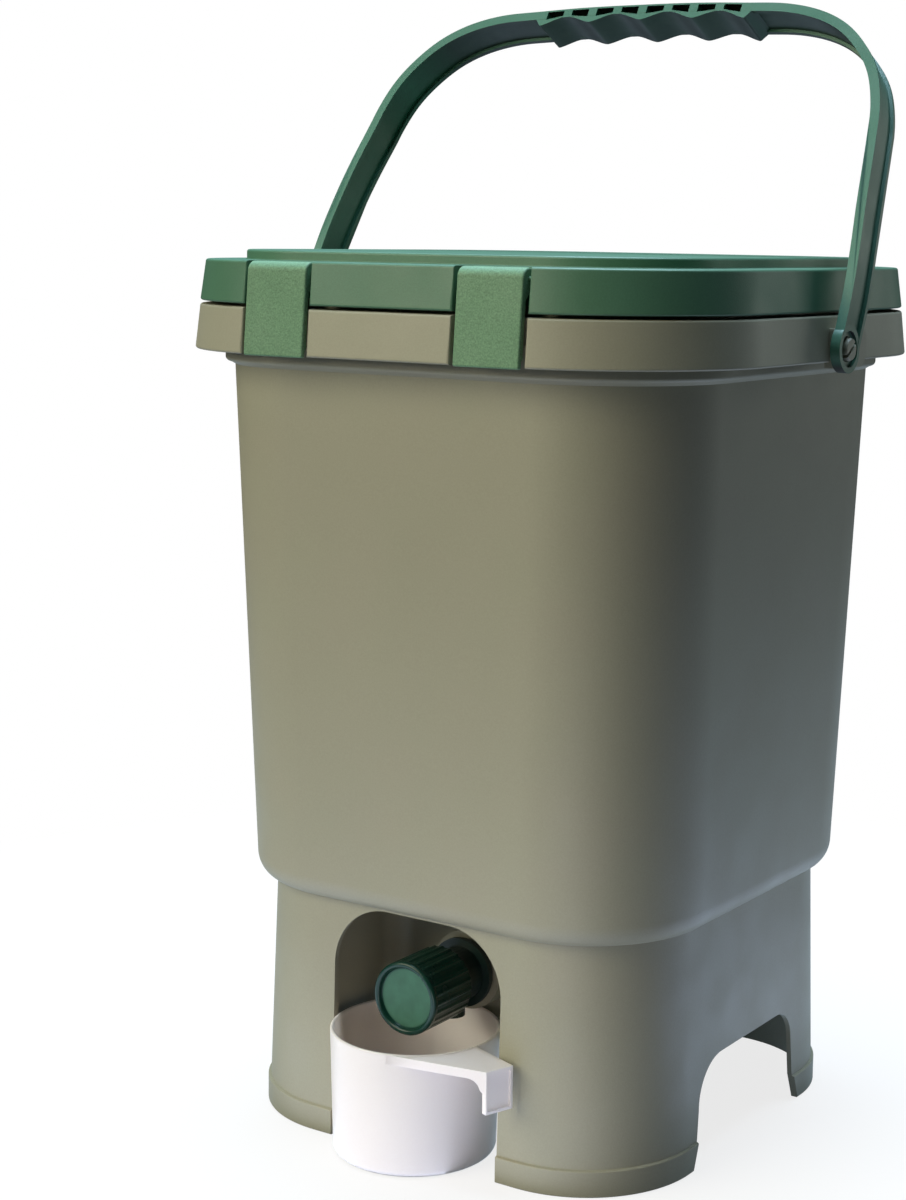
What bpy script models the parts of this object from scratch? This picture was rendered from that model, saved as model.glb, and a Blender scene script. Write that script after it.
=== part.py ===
"""Kitchen compost bin: a square tapered tub on a stand skirt, with a rim band, a sealed lid held by
four swinging latches, a lifting bail, a drain grid, a turning drain tap and a cup under the tap.

Metres, +Z up. The origin is on the floor, under the middle of the bin. The tap faces -Y.
"""

import math

import bmesh
import bpy
from mathutils import Matrix, Vector

# Rim band, neck, tub, stand skirt and foot. A half is from the centre line to the outside of a wall.
# Each lower or inner part takes its half from the one above or outside it.
WALL = 0.0024
EDGE = 0.0005
BAND_HALF_LOW = 0.1431
BAND_DRAFT = 0.0015
BAND_HALF_HIGH = BAND_HALF_LOW - BAND_DRAFT
BAND_CORNER_SHARE = 0.545
BAND_RADIUS = BAND_HALF_LOW * BAND_CORNER_SHARE
NECK_IN = 0.0136
NECK_HALF = BAND_HALF_LOW - NECK_IN
NECK_CORNER_IN = 0.0135
NECK_RADIUS = BAND_RADIUS - NECK_CORNER_IN
UPSTAND_IN = 0.0015
UPSTAND_HALF = NECK_HALF - UPSTAND_IN
UPSTAND_RADIUS = NECK_RADIUS - UPSTAND_IN
TUB_IN = 0.0045
TUB_HALF_HIGH = NECK_HALF - TUB_IN
TUB_RADIUS = NECK_RADIUS - TUB_IN
TUB_DRAFT = 0.0073
TUB_HALF_LOW = TUB_HALF_HIGH - TUB_DRAFT
STEP_IN = 0.0081
SKIRT_HALF_HIGH = TUB_HALF_LOW - STEP_IN
SKIRT_DRAFT = 0.0026
SKIRT_HALF_LOW = SKIRT_HALF_HIGH + SKIRT_DRAFT
SKIRT_CORNER_IN = 0.0044
SKIRT_RADIUS = TUB_RADIUS - SKIRT_CORNER_IN
FOOT_OUT = 0.0010
FOOT_HALF = SKIRT_HALF_LOW + FOOT_OUT
FOOT_RADIUS = SKIRT_RADIUS + FOOT_OUT

# Heights of the stand, up to the ledge inside the step.
FOOT_TOP = 0.0120
STEP_LOW = 0.1128
STEP_RISE = 0.0112
STEP_HIGH = STEP_LOW + STEP_RISE
LEDGE_DROP = 0.0045
LEDGE_TOP = STEP_HIGH - LEDGE_DROP
LEDGE_REACH = 0.0076
BAY_ROOF_DROP = 0.0049
BAY_ROOF = LEDGE_TOP - BAY_ROOF_DROP
ARCH_DROP = 0.0034
ARCH_TOP = BAY_ROOF - ARCH_DROP
TAP_DROP = 0.0380
TAP_Z = BAY_ROOF - TAP_DROP
SPOUT_DROP = 0.0180
SPOUT_LOW = TAP_Z - SPOUT_DROP
CUP_TOP_GAP = 0.0010
CUP_HEIGHT = SPOUT_LOW - CUP_TOP_GAP
FLOOR_DROP = 0.0186
FLOOR_UNDER = TAP_Z - FLOOR_DROP
FLOOR_THICK = 0.0030
FLOOR_TOP = FLOOR_UNDER + FLOOR_THICK
FLOOR_FILLET = 0.0040
SIDE_ARCH_DROP = 0.0105
SIDE_ARCH_TOP = FLOOR_UNDER - SIDE_ARCH_DROP

# Heights of the rim.
TUB_TOP = 0.3558
NECK_STEP = 0.0004
NECK_LOW = TUB_TOP + NECK_STEP
NECK_RISE = 0.0067
BAND_LOW = NECK_LOW + NECK_RISE
BAND_RISE = 0.0206
BAND_HIGH = BAND_LOW + BAND_RISE
BAND_ROOF = 0.0031
UPSTAND_RISE = 0.0125
UPSTAND_TOP = BAND_HIGH + UPSTAND_RISE

# Bay for the tap and the cup, and the three arches in the skirt. The bay is as wide as the cup needs.
CUP_RIM = 0.0390
CUP_SIDE_ROOM = 0.0070
ARCH_HALF = CUP_RIM + CUP_SIDE_ROOM
BAY_SIDE = 0.0040
BAY_HALF = ARCH_HALF + BAY_SIDE
BAY_FRONT_IN = 0.0020
BAY_FRONT = SKIRT_HALF_HIGH - BAY_FRONT_IN
BAY_DEPTH = 0.0492
BAY_BACK = BAY_FRONT - BAY_DEPTH
BAY_CORNER = 0.0120
ARCH_RADIUS = 0.0290
SIDE_ARCH_HIGH = 0.0462
SIDE_ARCH_DRAFT = 0.0016
SIDE_ARCH_LOW = SIDE_ARCH_HIGH + SIDE_ARCH_DRAFT
SIDE_ARCH_FLARE = 0.0047
SIDE_ARCH_FOOT = SIDE_ARCH_LOW + SIDE_ARCH_FLARE
SIDE_ARCH_SPLAY = 0.0130
SIDE_ARCH_RADIUS = 0.0150
CUT_OVER = 0.0100

# Pivot ears on the band's sides.
PIVOT_RISE = 0.0061
PIVOT_Z = BAND_LOW + PIVOT_RISE
EAR_REACH = 0.0034
EAR_RADIUS = 0.0088
EAR_BACK = 0.0300
EAR_CORNER = 0.0060
STUD_RADIUS = 0.0052
STUD_LENGTH = 0.0068
STUD_SLIT = 0.0016

# Lid. It stands on the band, and its groove goes over the upstand.
LID_IN = 0.0005
LID_HALF_LOW = BAND_HALF_HIGH - LID_IN
LID_DRAFT = 0.0017
LID_HALF_HIGH = LID_HALF_LOW - LID_DRAFT
LID_CORNER_IN = 0.0012
LID_RADIUS = BAND_RADIUS - LID_CORNER_IN
LID_GAP = 0.0015
LID_LOW = BAND_HIGH + LID_GAP
LID_RISE = 0.0189
LID_DECK = LID_LOW + LID_RISE
LID_WALL = 0.0024
PLATEAU_IN = 0.0191
PLATEAU_HALF = LID_HALF_HIGH - PLATEAU_IN
PLATEAU_CORNER_IN = 0.0198
PLATEAU_RADIUS = LID_RADIUS - PLATEAU_CORNER_IN
PLATEAU_RISE = 0.0045
PLATEAU_TOP = LID_DECK + PLATEAU_RISE
LID_EDGE = 0.0010
GROOVE_CLEAR = 0.0020
GROOVE_OUTER = UPSTAND_HALF + GROOVE_CLEAR
GROOVE_INNER = UPSTAND_HALF - WALL - GROOVE_CLEAR
RIB_WIDTH = 0.0020
RIB_GAP = 0.0045
RIB_LOW = BAND_HIGH + RIB_GAP
PLUG_REACH = 0.0085
PLUG_LOW = BAND_HIGH - PLUG_REACH
PLUG_TAPER = 0.0016
SEAL_GAP = 0.0003
SEAL_LOW = UPSTAND_TOP + SEAL_GAP
SEAL_GROOVE = 0.0010

# Latches. Four alike, two in front and two behind. Their face runs from just proud of the lid's
# skirt to just proud of the band. A skin is a wall's outer face where a latch's seat ends, which is
# already on the round corner.
LATCH_PLACE_SHARE = 0.3913
LATCH_SPACING = BAND_HALF_LOW * LATCH_PLACE_SHARE
LATCH_HALF = 0.0173
LATCH_SIDE_GAP = 0.0009
LATCH_PROUD_HIGH = 0.0012
LATCH_FACE_HIGH = LID_HALF_HIGH + LATCH_PROUD_HIGH
LATCH_PROUD_LOW = 0.0005
LATCH_FACE_LOW = BAND_HALF_LOW + LATCH_PROUD_LOW
LATCH_PIN_RADIUS = 0.0012
LATCH_PIN_LENGTH = 0.0024
LATCH_PIN_GAP = 0.0003
LATCH_PIN_SKIN = 0.0003
LATCH_CHEEK = 0.0036
CHEEK_END = LATCH_SPACING + LATCH_HALF + LATCH_SIDE_GAP + LATCH_CHEEK
LID_CENTRE = LID_HALF_HIGH - LID_RADIUS
LID_SKIN = LID_CENTRE + math.sqrt(LID_RADIUS ** 2 - max(0.0, CHEEK_END - LID_CENTRE) ** 2)
LATCH_PIVOT_Y = LID_SKIN - LATCH_PIN_SKIN - LATCH_PIN_GAP - LATCH_PIN_RADIUS
LATCH_RADIUS = LATCH_FACE_HIGH - LATCH_PIVOT_Y
LATCH_TOP_DROP = 0.0001
LATCH_PIVOT_Z = LID_DECK - LATCH_TOP_DROP - LATCH_RADIUS
LATCH_OVERHANG = 0.0004
LATCH_LOW = BAND_LOW - LATCH_OVERHANG
LATCH_THICK = 0.0026
LATCH_CORNER = 0.0009
LATCH_BACK_GAP = 0.0004
NOTCH_BACK = LATCH_PIVOT_Y - LATCH_RADIUS - LATCH_BACK_GAP
FINGER_ROOM = 0.0024
BAND_NOTCH_BACK = LATCH_FACE_LOW - LATCH_THICK - FINGER_ROOM
RECESS_END = LATCH_SPACING + LATCH_HALF + LATCH_SIDE_GAP + WALL
BAND_CENTRE = BAND_HALF_HIGH - BAND_RADIUS
BAND_SKIN = BAND_CENTRE + math.sqrt(BAND_RADIUS ** 2 - max(0.0, RECESS_END - BAND_CENTRE) ** 2)
CATCH_RISE = 0.0071
CATCH_LOW = BAND_LOW + CATCH_RISE
CATCH_TALL = 0.0020
CATCH_HIGH = CATCH_LOW + CATCH_TALL
CATCH_PROUD = 0.0010
BUMP_RISE = 0.0026
BUMP_LOW = BAND_LOW + BUMP_RISE
BUMP_TALL = 0.0025
BUMP_HIGH = BUMP_LOW + BUMP_TALL
BUMP_PROUD = 0.0004

# Bail. The path is in the bail's own plane, from its pivot up, right half only: shares of the
# distance from the middle to an eye, and of the crown's height over the pivot.
BAIL_TILT = math.radians(27.0)
BAIL_THICK = 0.0046
BAIL_SIDE_GAP = 0.0012
BAIL_EYE_X = BAND_HALF_LOW + EAR_REACH + BAIL_SIDE_GAP + BAIL_THICK / 2.0
BAIL_RISE = 0.1733
BAIL_PATH_SHARES = (
    (1.0000, 0.0000),
    (1.0080, 0.1356),
    (1.0040, 0.2579),
    (0.9840, 0.3693),
    (0.9680, 0.4789),
    (0.9513, 0.5857),
    (0.9307, 0.6878),
    (0.8933, 0.7790),
    (0.8327, 0.8540),
    (0.7547, 0.9152),
    (0.6573, 0.9573),
    (0.5373, 0.9821),
    (0.3900, 0.9902),
    (0.2113, 0.9977),
    (0.0000, 1.0000),
)
BAIL_STEPS = 2
BAIL_WIDTH_EYE = 0.0168
BAIL_WIDTH_GRIP = 0.0212
BAIL_FLANGE = 0.0026
BAIL_WEB = 0.0016
BAIL_EDGE = 0.0004
EYE_WALL = 0.0049
EYE_CLEAR = 0.0004
EYE_BORE = STUD_RADIUS + EYE_CLEAR
EYE_RADIUS = EYE_BORE + EYE_WALL
GRIP_HALF = 0.0610
GRIP_PITCH = 0.0283
GRIP_DROP = 0.0039
GRIP_WAVE = 0.0018
GRIP_RAMP = 0.0045
GRIP_SAMPLES = 56
POCKET_COUNT = 8
POCKET_PITCH = 0.0141
POCKET_WIDTH = 0.0092
POCKET_HEIGHT = 0.0029
POCKET_DEPTH = 0.0085
POCKET_RISE = 0.0008

# Drain grid. It lies on the ledge inside the tub.
GRID_SIDE_GAP = 0.0015
GRID_HALF = TUB_HALF_LOW - WALL - GRID_SIDE_GAP
GRID_CORNER_IN = 0.0040
GRID_RADIUS = TUB_RADIUS - GRID_CORNER_IN
GRID_THICK = 0.0024
GRID_GAP = 0.0003
SLOT_MARGIN = 0.0138
SLOT_REACH = GRID_HALF - SLOT_MARGIN
SLOT_COLUMNS = 6
SLOT_ROWS = 13
SLOT_PITCH_X_SHARE = 0.320
SLOT_PITCH_X = SLOT_REACH * SLOT_PITCH_X_SHARE
SLOT_PITCH_Y_SHARE = 0.145
SLOT_PITCH_Y = SLOT_REACH * SLOT_PITCH_Y_SHARE
SLOT_LAND = 0.0080
SLOT_LENGTH = SLOT_PITCH_X - SLOT_LAND
SLOT_WIDTH = 0.0040
SLOT_CORNER_SHARE = 1.26
LIFT_TAB_SPACING = 0.0400
LIFT_TAB_HALF = 0.0100
LIFT_TAB_HEIGHT = 0.0140
LIFT_TAB_THICK = 0.0030

# Tap, on an axis along Y. The plug sets the chamber, barrel, flange, boss and knob around it.
TAP_GAP = 0.0003
PLUG_RADIUS = 0.0087
CHAMBER_RADIUS = PLUG_RADIUS + TAP_GAP
BARREL_WALL = 0.0035
BARREL_RADIUS = CHAMBER_RADIUS + BARREL_WALL
FLANGE_LIP = 0.0037
FLANGE_RADIUS = BARREL_RADIUS + FLANGE_LIP
FLANGE_THICK = 0.0025
BOSS_LIP = 0.0023
BOSS_RADIUS = FLANGE_RADIUS + BOSS_LIP
SPIGOT_RADIUS = 0.0091
SPIGOT_WALL = 0.0029
SPIGOT_BORE = SPIGOT_RADIUS - SPIGOT_WALL
BOSS_CLEAR = 0.0004
BOSS_BORE = SPIGOT_RADIUS + BOSS_CLEAR
WASHER_CLEAR = 0.0005
WASHER_BORE = SPIGOT_RADIUS + WASHER_CLEAR
WASHER_IN = 0.0012
WASHER_RADIUS = FLANGE_RADIUS - WASHER_IN
WASHER_THICK = 0.0020
NUT_WALL = 0.0046
NUT_RADIUS = WASHER_BORE + NUT_WALL
NUT_THICK = 0.0080
INNER_WASHER_IN = 0.0004
INNER_WASHER_RADIUS = NUT_RADIUS - INNER_WASHER_IN
SPIGOT_PAST_NUT = 0.0014
SPIGOT_END = BAY_BACK - WALL - 2.0 * TAP_GAP - WASHER_THICK - NUT_THICK - SPIGOT_PAST_NUT
BOSS_HEIGHT = 0.0116
BOSS_FACE = BAY_BACK + BOSS_HEIGHT
BARREL_LENGTH = 0.0310
BARREL_FRONT = BOSS_FACE + BARREL_LENGTH
CHAMBER_START = 0.0070
CHAMBER_BACK = BOSS_FACE + CHAMBER_START
SPOUT_START = 0.0118
SPOUT_Y = BOSS_FACE + SPOUT_START
SPOUT_BORE = 0.0042
SPOUT_WALL = 0.0021
SPOUT_RADIUS = SPOUT_BORE + SPOUT_WALL
PLUG_END_GAP = 0.0010
PLUG_BACK = CHAMBER_BACK + PLUG_END_GAP
PLUG_PROUD = 0.0004
PLUG_FRONT = BARREL_FRONT + PLUG_PROUD
PLUG_WALL = 0.0042
PLUG_BORE = PLUG_RADIUS - PLUG_WALL
PLUG_BORE_PAST = 0.0044
PLUG_BORE_END = SPOUT_Y + PLUG_BORE_PAST
PORT_RADIUS = 0.0032
STEM_HALF = 0.0040
STEM_LENGTH = 0.0118
STEM_FRONT = BARREL_FRONT + STEM_LENGTH
ORING_MINOR = 0.0011
ORING_MAJOR = PLUG_RADIUS - ORING_MINOR
ORING_GAP = 0.0004
ORING_GROOVE = ORING_MAJOR - ORING_MINOR - ORING_GAP
ORING_HALF_WIDTH = ORING_MINOR + ORING_GAP
ORING_IN = 0.0060
ORING_FRONT_Y = BARREL_FRONT - ORING_IN
ORING_PITCH = 0.0055
ORING_BACK_Y = ORING_FRONT_Y - ORING_PITCH
KNOB_GAP = 0.0008
KNOB_INNER = BARREL_RADIUS + KNOB_GAP
KNOB_WALL = 0.0030
KNOB_RADIUS = KNOB_INNER + KNOB_WALL
KNOB_RIB_PROUD = 0.0005
KNOB_RIB_RADIUS = KNOB_RADIUS + KNOB_RIB_PROUD
KNOB_RIBS = 24
KNOB_FACE_THICK = 0.0065
KNOB_FACE = STEM_FRONT + KNOB_FACE_THICK
KNOB_OVERLAP = 0.0116
KNOB_BACK = BARREL_FRONT - KNOB_OVERLAP
KNOB_COLLAR = 0.0033
KNOB_RIB_FRONT = KNOB_FACE - KNOB_COLLAR
KNOB_WEB_GAP = 0.0020
KNOB_WEB = BARREL_FRONT + KNOB_WEB_GAP
KNOB_RIM = 0.0022
KNOB_RECESS = 0.0014

# Cup. It stands in the bay, close to the back wall and under the spout.
CUP_X = -0.0072
CUP_BACK_GAP = 0.0027
CUP_Y = -(BAY_BACK + CUP_BACK_GAP + CUP_RIM)
CUP_DRAFT = 0.0015
CUP_BASE = CUP_RIM - CUP_DRAFT
CUP_WALL = 0.0016
CUP_FILLET = 0.0030
CUP_FILLET_SHARE = 0.3
CUP_ANGLE = math.radians(-20.0)
HANDLE_REACH = 0.0250
CUP_REACH = CUP_RIM + HANDLE_REACH
STRAP_HALF = 0.0072
STRAP_DROP = 0.0178
STRAP_THICK = 0.0016
STRAP_RIB = 0.0012
STRAP_RIB_PROUD = 0.0012
CUP_FLANGE = 0.0020
FLANGE_RIB_DROP = 0.0026

# Sampling of round shapes.
CORNER_STEPS = 10
ARC_STEPS = 6
ROUND_STEPS = 40
SMALL_STEPS = 24
SLOT_STEPS = 2
ORING_STEPS = 8
MERGE = 0.00001

COLOURS = {
    "body": ((0.33, 0.32, 0.24), 0.55),
    "lid": ((0.055, 0.19, 0.125), 0.50),
    "latch": ((0.10, 0.27, 0.15), 0.65),
    "bail": ((0.035, 0.17, 0.11), 0.45),
    "seal": ((0.08, 0.08, 0.08), 0.70),
    "grid": ((0.05, 0.16, 0.11), 0.55),
    "tap": ((0.012, 0.06, 0.04), 0.45),
    "knob": ((0.03, 0.15, 0.09), 0.35),
    "nut": ((0.02, 0.02, 0.02), 0.50),
    "cup": ((0.86, 0.86, 0.88), 0.40),
}


def clear_scene():
    for obj in list(bpy.data.objects):
        bpy.data.objects.remove(obj, do_unlink=True)


def make_material(key):
    found = bpy.data.materials.get(key)
    if found:
        return found
    colour, roughness = COLOURS[key]
    mat = bpy.data.materials.new(key)
    mat.use_nodes = True
    shader = mat.node_tree.nodes["Principled BSDF"]
    shader.inputs["Base Color"].default_value = (*colour, 1.0)
    shader.inputs["Roughness"].default_value = roughness
    shader.inputs["Metallic"].default_value = 0.0
    return mat


def object_from(bm, name, material):
    bmesh.ops.remove_doubles(bm, verts=bm.verts, dist=MERGE)
    bmesh.ops.recalc_face_normals(bm, faces=bm.faces)
    mesh = bpy.data.meshes.new(name)
    bm.to_mesh(mesh)
    bm.free()
    obj = bpy.data.objects.new(name, mesh)
    bpy.context.scene.collection.objects.link(obj)
    mesh.materials.append(make_material(material))
    return obj


def smooth(obj, degrees=35.0):
    for face in obj.data.polygons:
        face.use_smooth = True
    obj.data.set_sharp_from_angle(angle=math.radians(degrees))


def loft(name, loops, material, cyclic=False):
    """One closed body through a stack of loops with equal numbers of points."""
    bm = bmesh.new()
    rows = [[bm.verts.new(p) for p in loop] for loop in loops]
    count = len(rows[0])
    pairs = list(zip(rows, rows[1:]))
    if cyclic:
        pairs.append((rows[-1], rows[0]))
    for low, high in pairs:
        for i in range(count):
            j = (i + 1) % count
            bm.faces.new((low[i], low[j], high[j], high[i]))
    if not cyclic:
        bm.faces.new(list(reversed(rows[0])))
        bm.faces.new(rows[-1])
    return object_from(bm, name, material)


def ring(half, radius, z):
    """A square loop with round corners at one level."""
    points = []
    centre = half - radius
    for corner, (sx, sy) in enumerate(((1, 1), (-1, 1), (-1, -1), (1, -1))):
        for k in range(CORNER_STEPS + 1):
            a = math.radians(90.0 * (corner + k / CORNER_STEPS))
            x = sx * centre + radius * math.cos(a)
            y = sy * centre + radius * math.sin(a)
            points.append((x, y, z))
    return points


def circle(radius, z, steps=ROUND_STEPS):
    turn = 2.0 * math.pi / steps
    return [(radius * math.cos(turn * k), radius * math.sin(turn * k), z) for k in range(steps)]


def turned(name, profile, material, steps=ROUND_STEPS, cyclic=False):
    """A body of revolution about Z from (radius, height) pairs."""
    return loft(name, [circle(r, z, steps) for r, z in profile], material, cyclic)


def prism(name, outline, low, high, material="body", axis="Z"):
    """An outline in a plane, drawn out along one axis."""
    def place(a, b, c):
        if axis == "X":
            return (c, a, b)
        if axis == "Y":
            return (a, c, b)
        return (a, b, c)

    loops = [[place(a, b, c) for a, b in outline] for c in (low, high)]
    return loft(name, loops, material)


def box(name, low, high, material="body"):
    outline = ((low[0], low[1]), (high[0], low[1]), (high[0], high[1]), (low[0], high[1]))
    return prism(name, outline, low[2], high[2], material)


def arc(cx, cy, radius, start, end, steps=ARC_STEPS):
    out = []
    for k in range(steps + 1):
        a = math.radians(start + (end - start) * k / steps)
        out.append((cx + radius * math.cos(a), cy + radius * math.sin(a)))
    return out


def boolean(target, tool, operation):
    """Joins or cuts with the exact solver, and keeps the result as the target's own mesh."""
    mod = target.modifiers.new(operation.lower(), "BOOLEAN")
    mod.object = tool
    mod.operation = operation
    mod.solver = "EXACT"
    graph = bpy.context.evaluated_depsgraph_get()
    graph.update()
    result = bpy.data.meshes.new_from_object(target.evaluated_get(graph))
    target.modifiers.remove(mod)
    old = target.data
    target.data = result
    bpy.data.meshes.remove(old)
    used = tool.data
    bpy.data.objects.remove(tool, do_unlink=True)
    bpy.data.meshes.remove(used)
    bm = bmesh.new()
    bm.from_mesh(target.data)
    bmesh.ops.dissolve_limit(
        bm, angle_limit=math.radians(0.1), verts=bm.verts, edges=bm.edges, delimit={"SHARP"})
    bm.to_mesh(target.data)
    bm.free()


def cut(target, tool):
    boolean(target, tool, "DIFFERENCE")


def join(target, tool):
    boolean(target, tool, "UNION")


def transform(obj, matrix):
    obj.data.transform(matrix)
    obj.data.update()


def along_y(obj, z=TAP_Z):
    """Turns a body made about Z so that its height runs toward -Y, on the tap's axis."""
    transform(obj, Matrix.Translation((0.0, 0.0, z)) @ Matrix.Rotation(math.radians(90.0), 4, "X"))
    return obj


def blend(a, b, share):
    return a + (b - a) * share


def skirt_half(z):
    return blend(SKIRT_HALF_LOW, SKIRT_HALF_HIGH, z / STEP_LOW)


def tub_half(z):
    return blend(TUB_HALF_LOW, TUB_HALF_HIGH, (z - STEP_HIGH) / (TUB_TOP - STEP_HIGH))


def make_body():
    thin = SKIRT_RADIUS - WALL
    loops = [
        ring(skirt_half(FLOOR_UNDER) - WALL, thin, FLOOR_UNDER),
        ring(SKIRT_HALF_LOW - WALL, thin, 0.0),
        ring(FOOT_HALF - EDGE, FOOT_RADIUS - EDGE, 0.0),
        ring(FOOT_HALF, FOOT_RADIUS, EDGE),
        ring(FOOT_HALF, FOOT_RADIUS, FOOT_TOP - EDGE),
        ring(FOOT_HALF - EDGE, FOOT_RADIUS - EDGE, FOOT_TOP),
        ring(skirt_half(FOOT_TOP), SKIRT_RADIUS, FOOT_TOP + EDGE),
        ring(SKIRT_HALF_HIGH, SKIRT_RADIUS, STEP_LOW - EDGE),
    ]
    for k in range(ARC_STEPS + 1):
        a = math.radians(90.0 * k / ARC_STEPS)
        half = blend(SKIRT_HALF_HIGH + EDGE, TUB_HALF_LOW, math.sin(a))
        radius = blend(SKIRT_RADIUS + EDGE, TUB_RADIUS, math.sin(a))
        loops.append(ring(half, radius, blend(STEP_LOW, STEP_HIGH, 1.0 - math.cos(a))))
    neck_top = BAND_HIGH - BAND_ROOF
    band_inner = BAND_RADIUS - WALL
    loops += [
        ring(TUB_HALF_HIGH, TUB_RADIUS, TUB_TOP),
        ring(NECK_HALF - EDGE, NECK_RADIUS - EDGE, NECK_LOW),
        ring(NECK_HALF, NECK_RADIUS, NECK_LOW + EDGE),
        ring(NECK_HALF, NECK_RADIUS, neck_top),
        ring(BAND_HALF_HIGH - WALL, band_inner, neck_top),
        ring(BAND_HALF_LOW - WALL, band_inner, BAND_LOW),
        ring(BAND_HALF_LOW - EDGE, BAND_RADIUS - EDGE, BAND_LOW),
        ring(BAND_HALF_LOW, BAND_RADIUS, BAND_LOW + EDGE),
        ring(BAND_HALF_HIGH, BAND_RADIUS, BAND_HIGH - EDGE),
        ring(BAND_HALF_HIGH - EDGE, BAND_RADIUS - EDGE, BAND_HIGH),
        ring(UPSTAND_HALF, UPSTAND_RADIUS, BAND_HIGH),
        ring(UPSTAND_HALF, UPSTAND_RADIUS, UPSTAND_TOP - EDGE),
        ring(UPSTAND_HALF - EDGE, UPSTAND_RADIUS - EDGE, UPSTAND_TOP),
        ring(UPSTAND_HALF - WALL + EDGE, UPSTAND_RADIUS - WALL + EDGE, UPSTAND_TOP),
        ring(UPSTAND_HALF - WALL, UPSTAND_RADIUS - WALL, UPSTAND_TOP - EDGE),
        ring(TUB_HALF_HIGH - WALL, TUB_RADIUS - WALL, TUB_TOP),
    ]
    ledge_wall = tub_half(LEDGE_TOP) - WALL
    well = skirt_half(FLOOR_TOP) - WALL
    loops += [
        ring(ledge_wall, TUB_RADIUS - WALL, LEDGE_TOP),
        ring(ledge_wall - LEDGE_REACH, thin, LEDGE_TOP),
        ring(well - EDGE, thin, FLOOR_TOP + FLOOR_FILLET),
        ring(well - EDGE - FLOOR_FILLET / 3.0, thin, FLOOR_TOP + FLOOR_FILLET / 3.0),
        ring(well - EDGE - FLOOR_FILLET, thin - FLOOR_FILLET, FLOOR_TOP),
    ]
    body = loft("bin_body", loops, "body")
    add_bay(body)
    add_tap_boss(body)
    cut_arches(body)
    for side in (1, -1):
        add_ear(body, side)
    add_catches(body)
    smooth(body)
    return body


def bay_outline(half, front, back, corner):
    points = [(half, -front), (half, -back - corner)]
    points += arc(half - corner, -back - corner, corner, 0.0, 90.0)[1:]
    points += arc(-half + corner, -back - corner, corner, 90.0, 180.0)
    points.append((-half, -front))
    return list(reversed(points))


def add_bay(body):
    shell = bay_outline(BAY_HALF + WALL, BAY_FRONT + WALL / 2.0, BAY_BACK - WALL, BAY_CORNER + WALL)
    join(body, prism("bay_shell", shell, FLOOR_UNDER + WALL / 2.0, BAY_ROOF + WALL))
    hollow = bay_outline(BAY_HALF, BAY_FRONT, BAY_BACK, BAY_CORNER)
    cut(body, prism("bay_hollow", hollow, FLOOR_UNDER - CUT_OVER, BAY_ROOF))


def add_tap_boss(body):
    join(body, along_y(turned("boss", (
        (BOSS_RADIUS, BAY_BACK - WALL / 2.0),
        (BOSS_RADIUS, BOSS_FACE - EDGE),
        (BOSS_RADIUS - EDGE, BOSS_FACE),
    ), "body")))
    cut(body, along_y(turned("bore", (
        (BOSS_BORE, BAY_BACK - CUT_OVER),
        (BOSS_BORE, BOSS_FACE + CUT_OVER),
    ), "body")))


def cut_arches(body):
    low = -CUT_OVER
    rise = ARCH_TOP - ARCH_RADIUS
    across = ARCH_HALF - ARCH_RADIUS
    front = [(-ARCH_HALF, low), (ARCH_HALF, low)]
    front += arc(across, rise, ARCH_RADIUS, 0.0, 90.0, 2 * ARC_STEPS)
    front += arc(-across, rise, ARCH_RADIUS, 90.0, 180.0, 2 * ARC_STEPS)
    reach = FOOT_HALF + CUT_OVER
    cut(body, prism("front_arch", front, -reach, -BAY_FRONT + WALL, axis="Y"))
    rise = SIDE_ARCH_TOP - SIDE_ARCH_RADIUS
    across = SIDE_ARCH_HIGH - SIDE_ARCH_RADIUS
    side = [
        (-SIDE_ARCH_LOW, SIDE_ARCH_SPLAY),
        (-SIDE_ARCH_FOOT, 0.0),
        (-SIDE_ARCH_FOOT, low),
        (SIDE_ARCH_FOOT, low),
        (SIDE_ARCH_FOOT, 0.0),
        (SIDE_ARCH_LOW, SIDE_ARCH_SPLAY),
    ]
    side += arc(across, rise, SIDE_ARCH_RADIUS, 0.0, 90.0)
    side += arc(-across, rise, SIDE_ARCH_RADIUS, 90.0, 180.0)
    inside = SKIRT_HALF_HIGH - WALL - CUT_OVER
    for low_x, high_x in ((inside, reach), (-reach, -inside)):
        cut(body, prism("side_arch", side, low_x, high_x, axis="X"))


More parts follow.
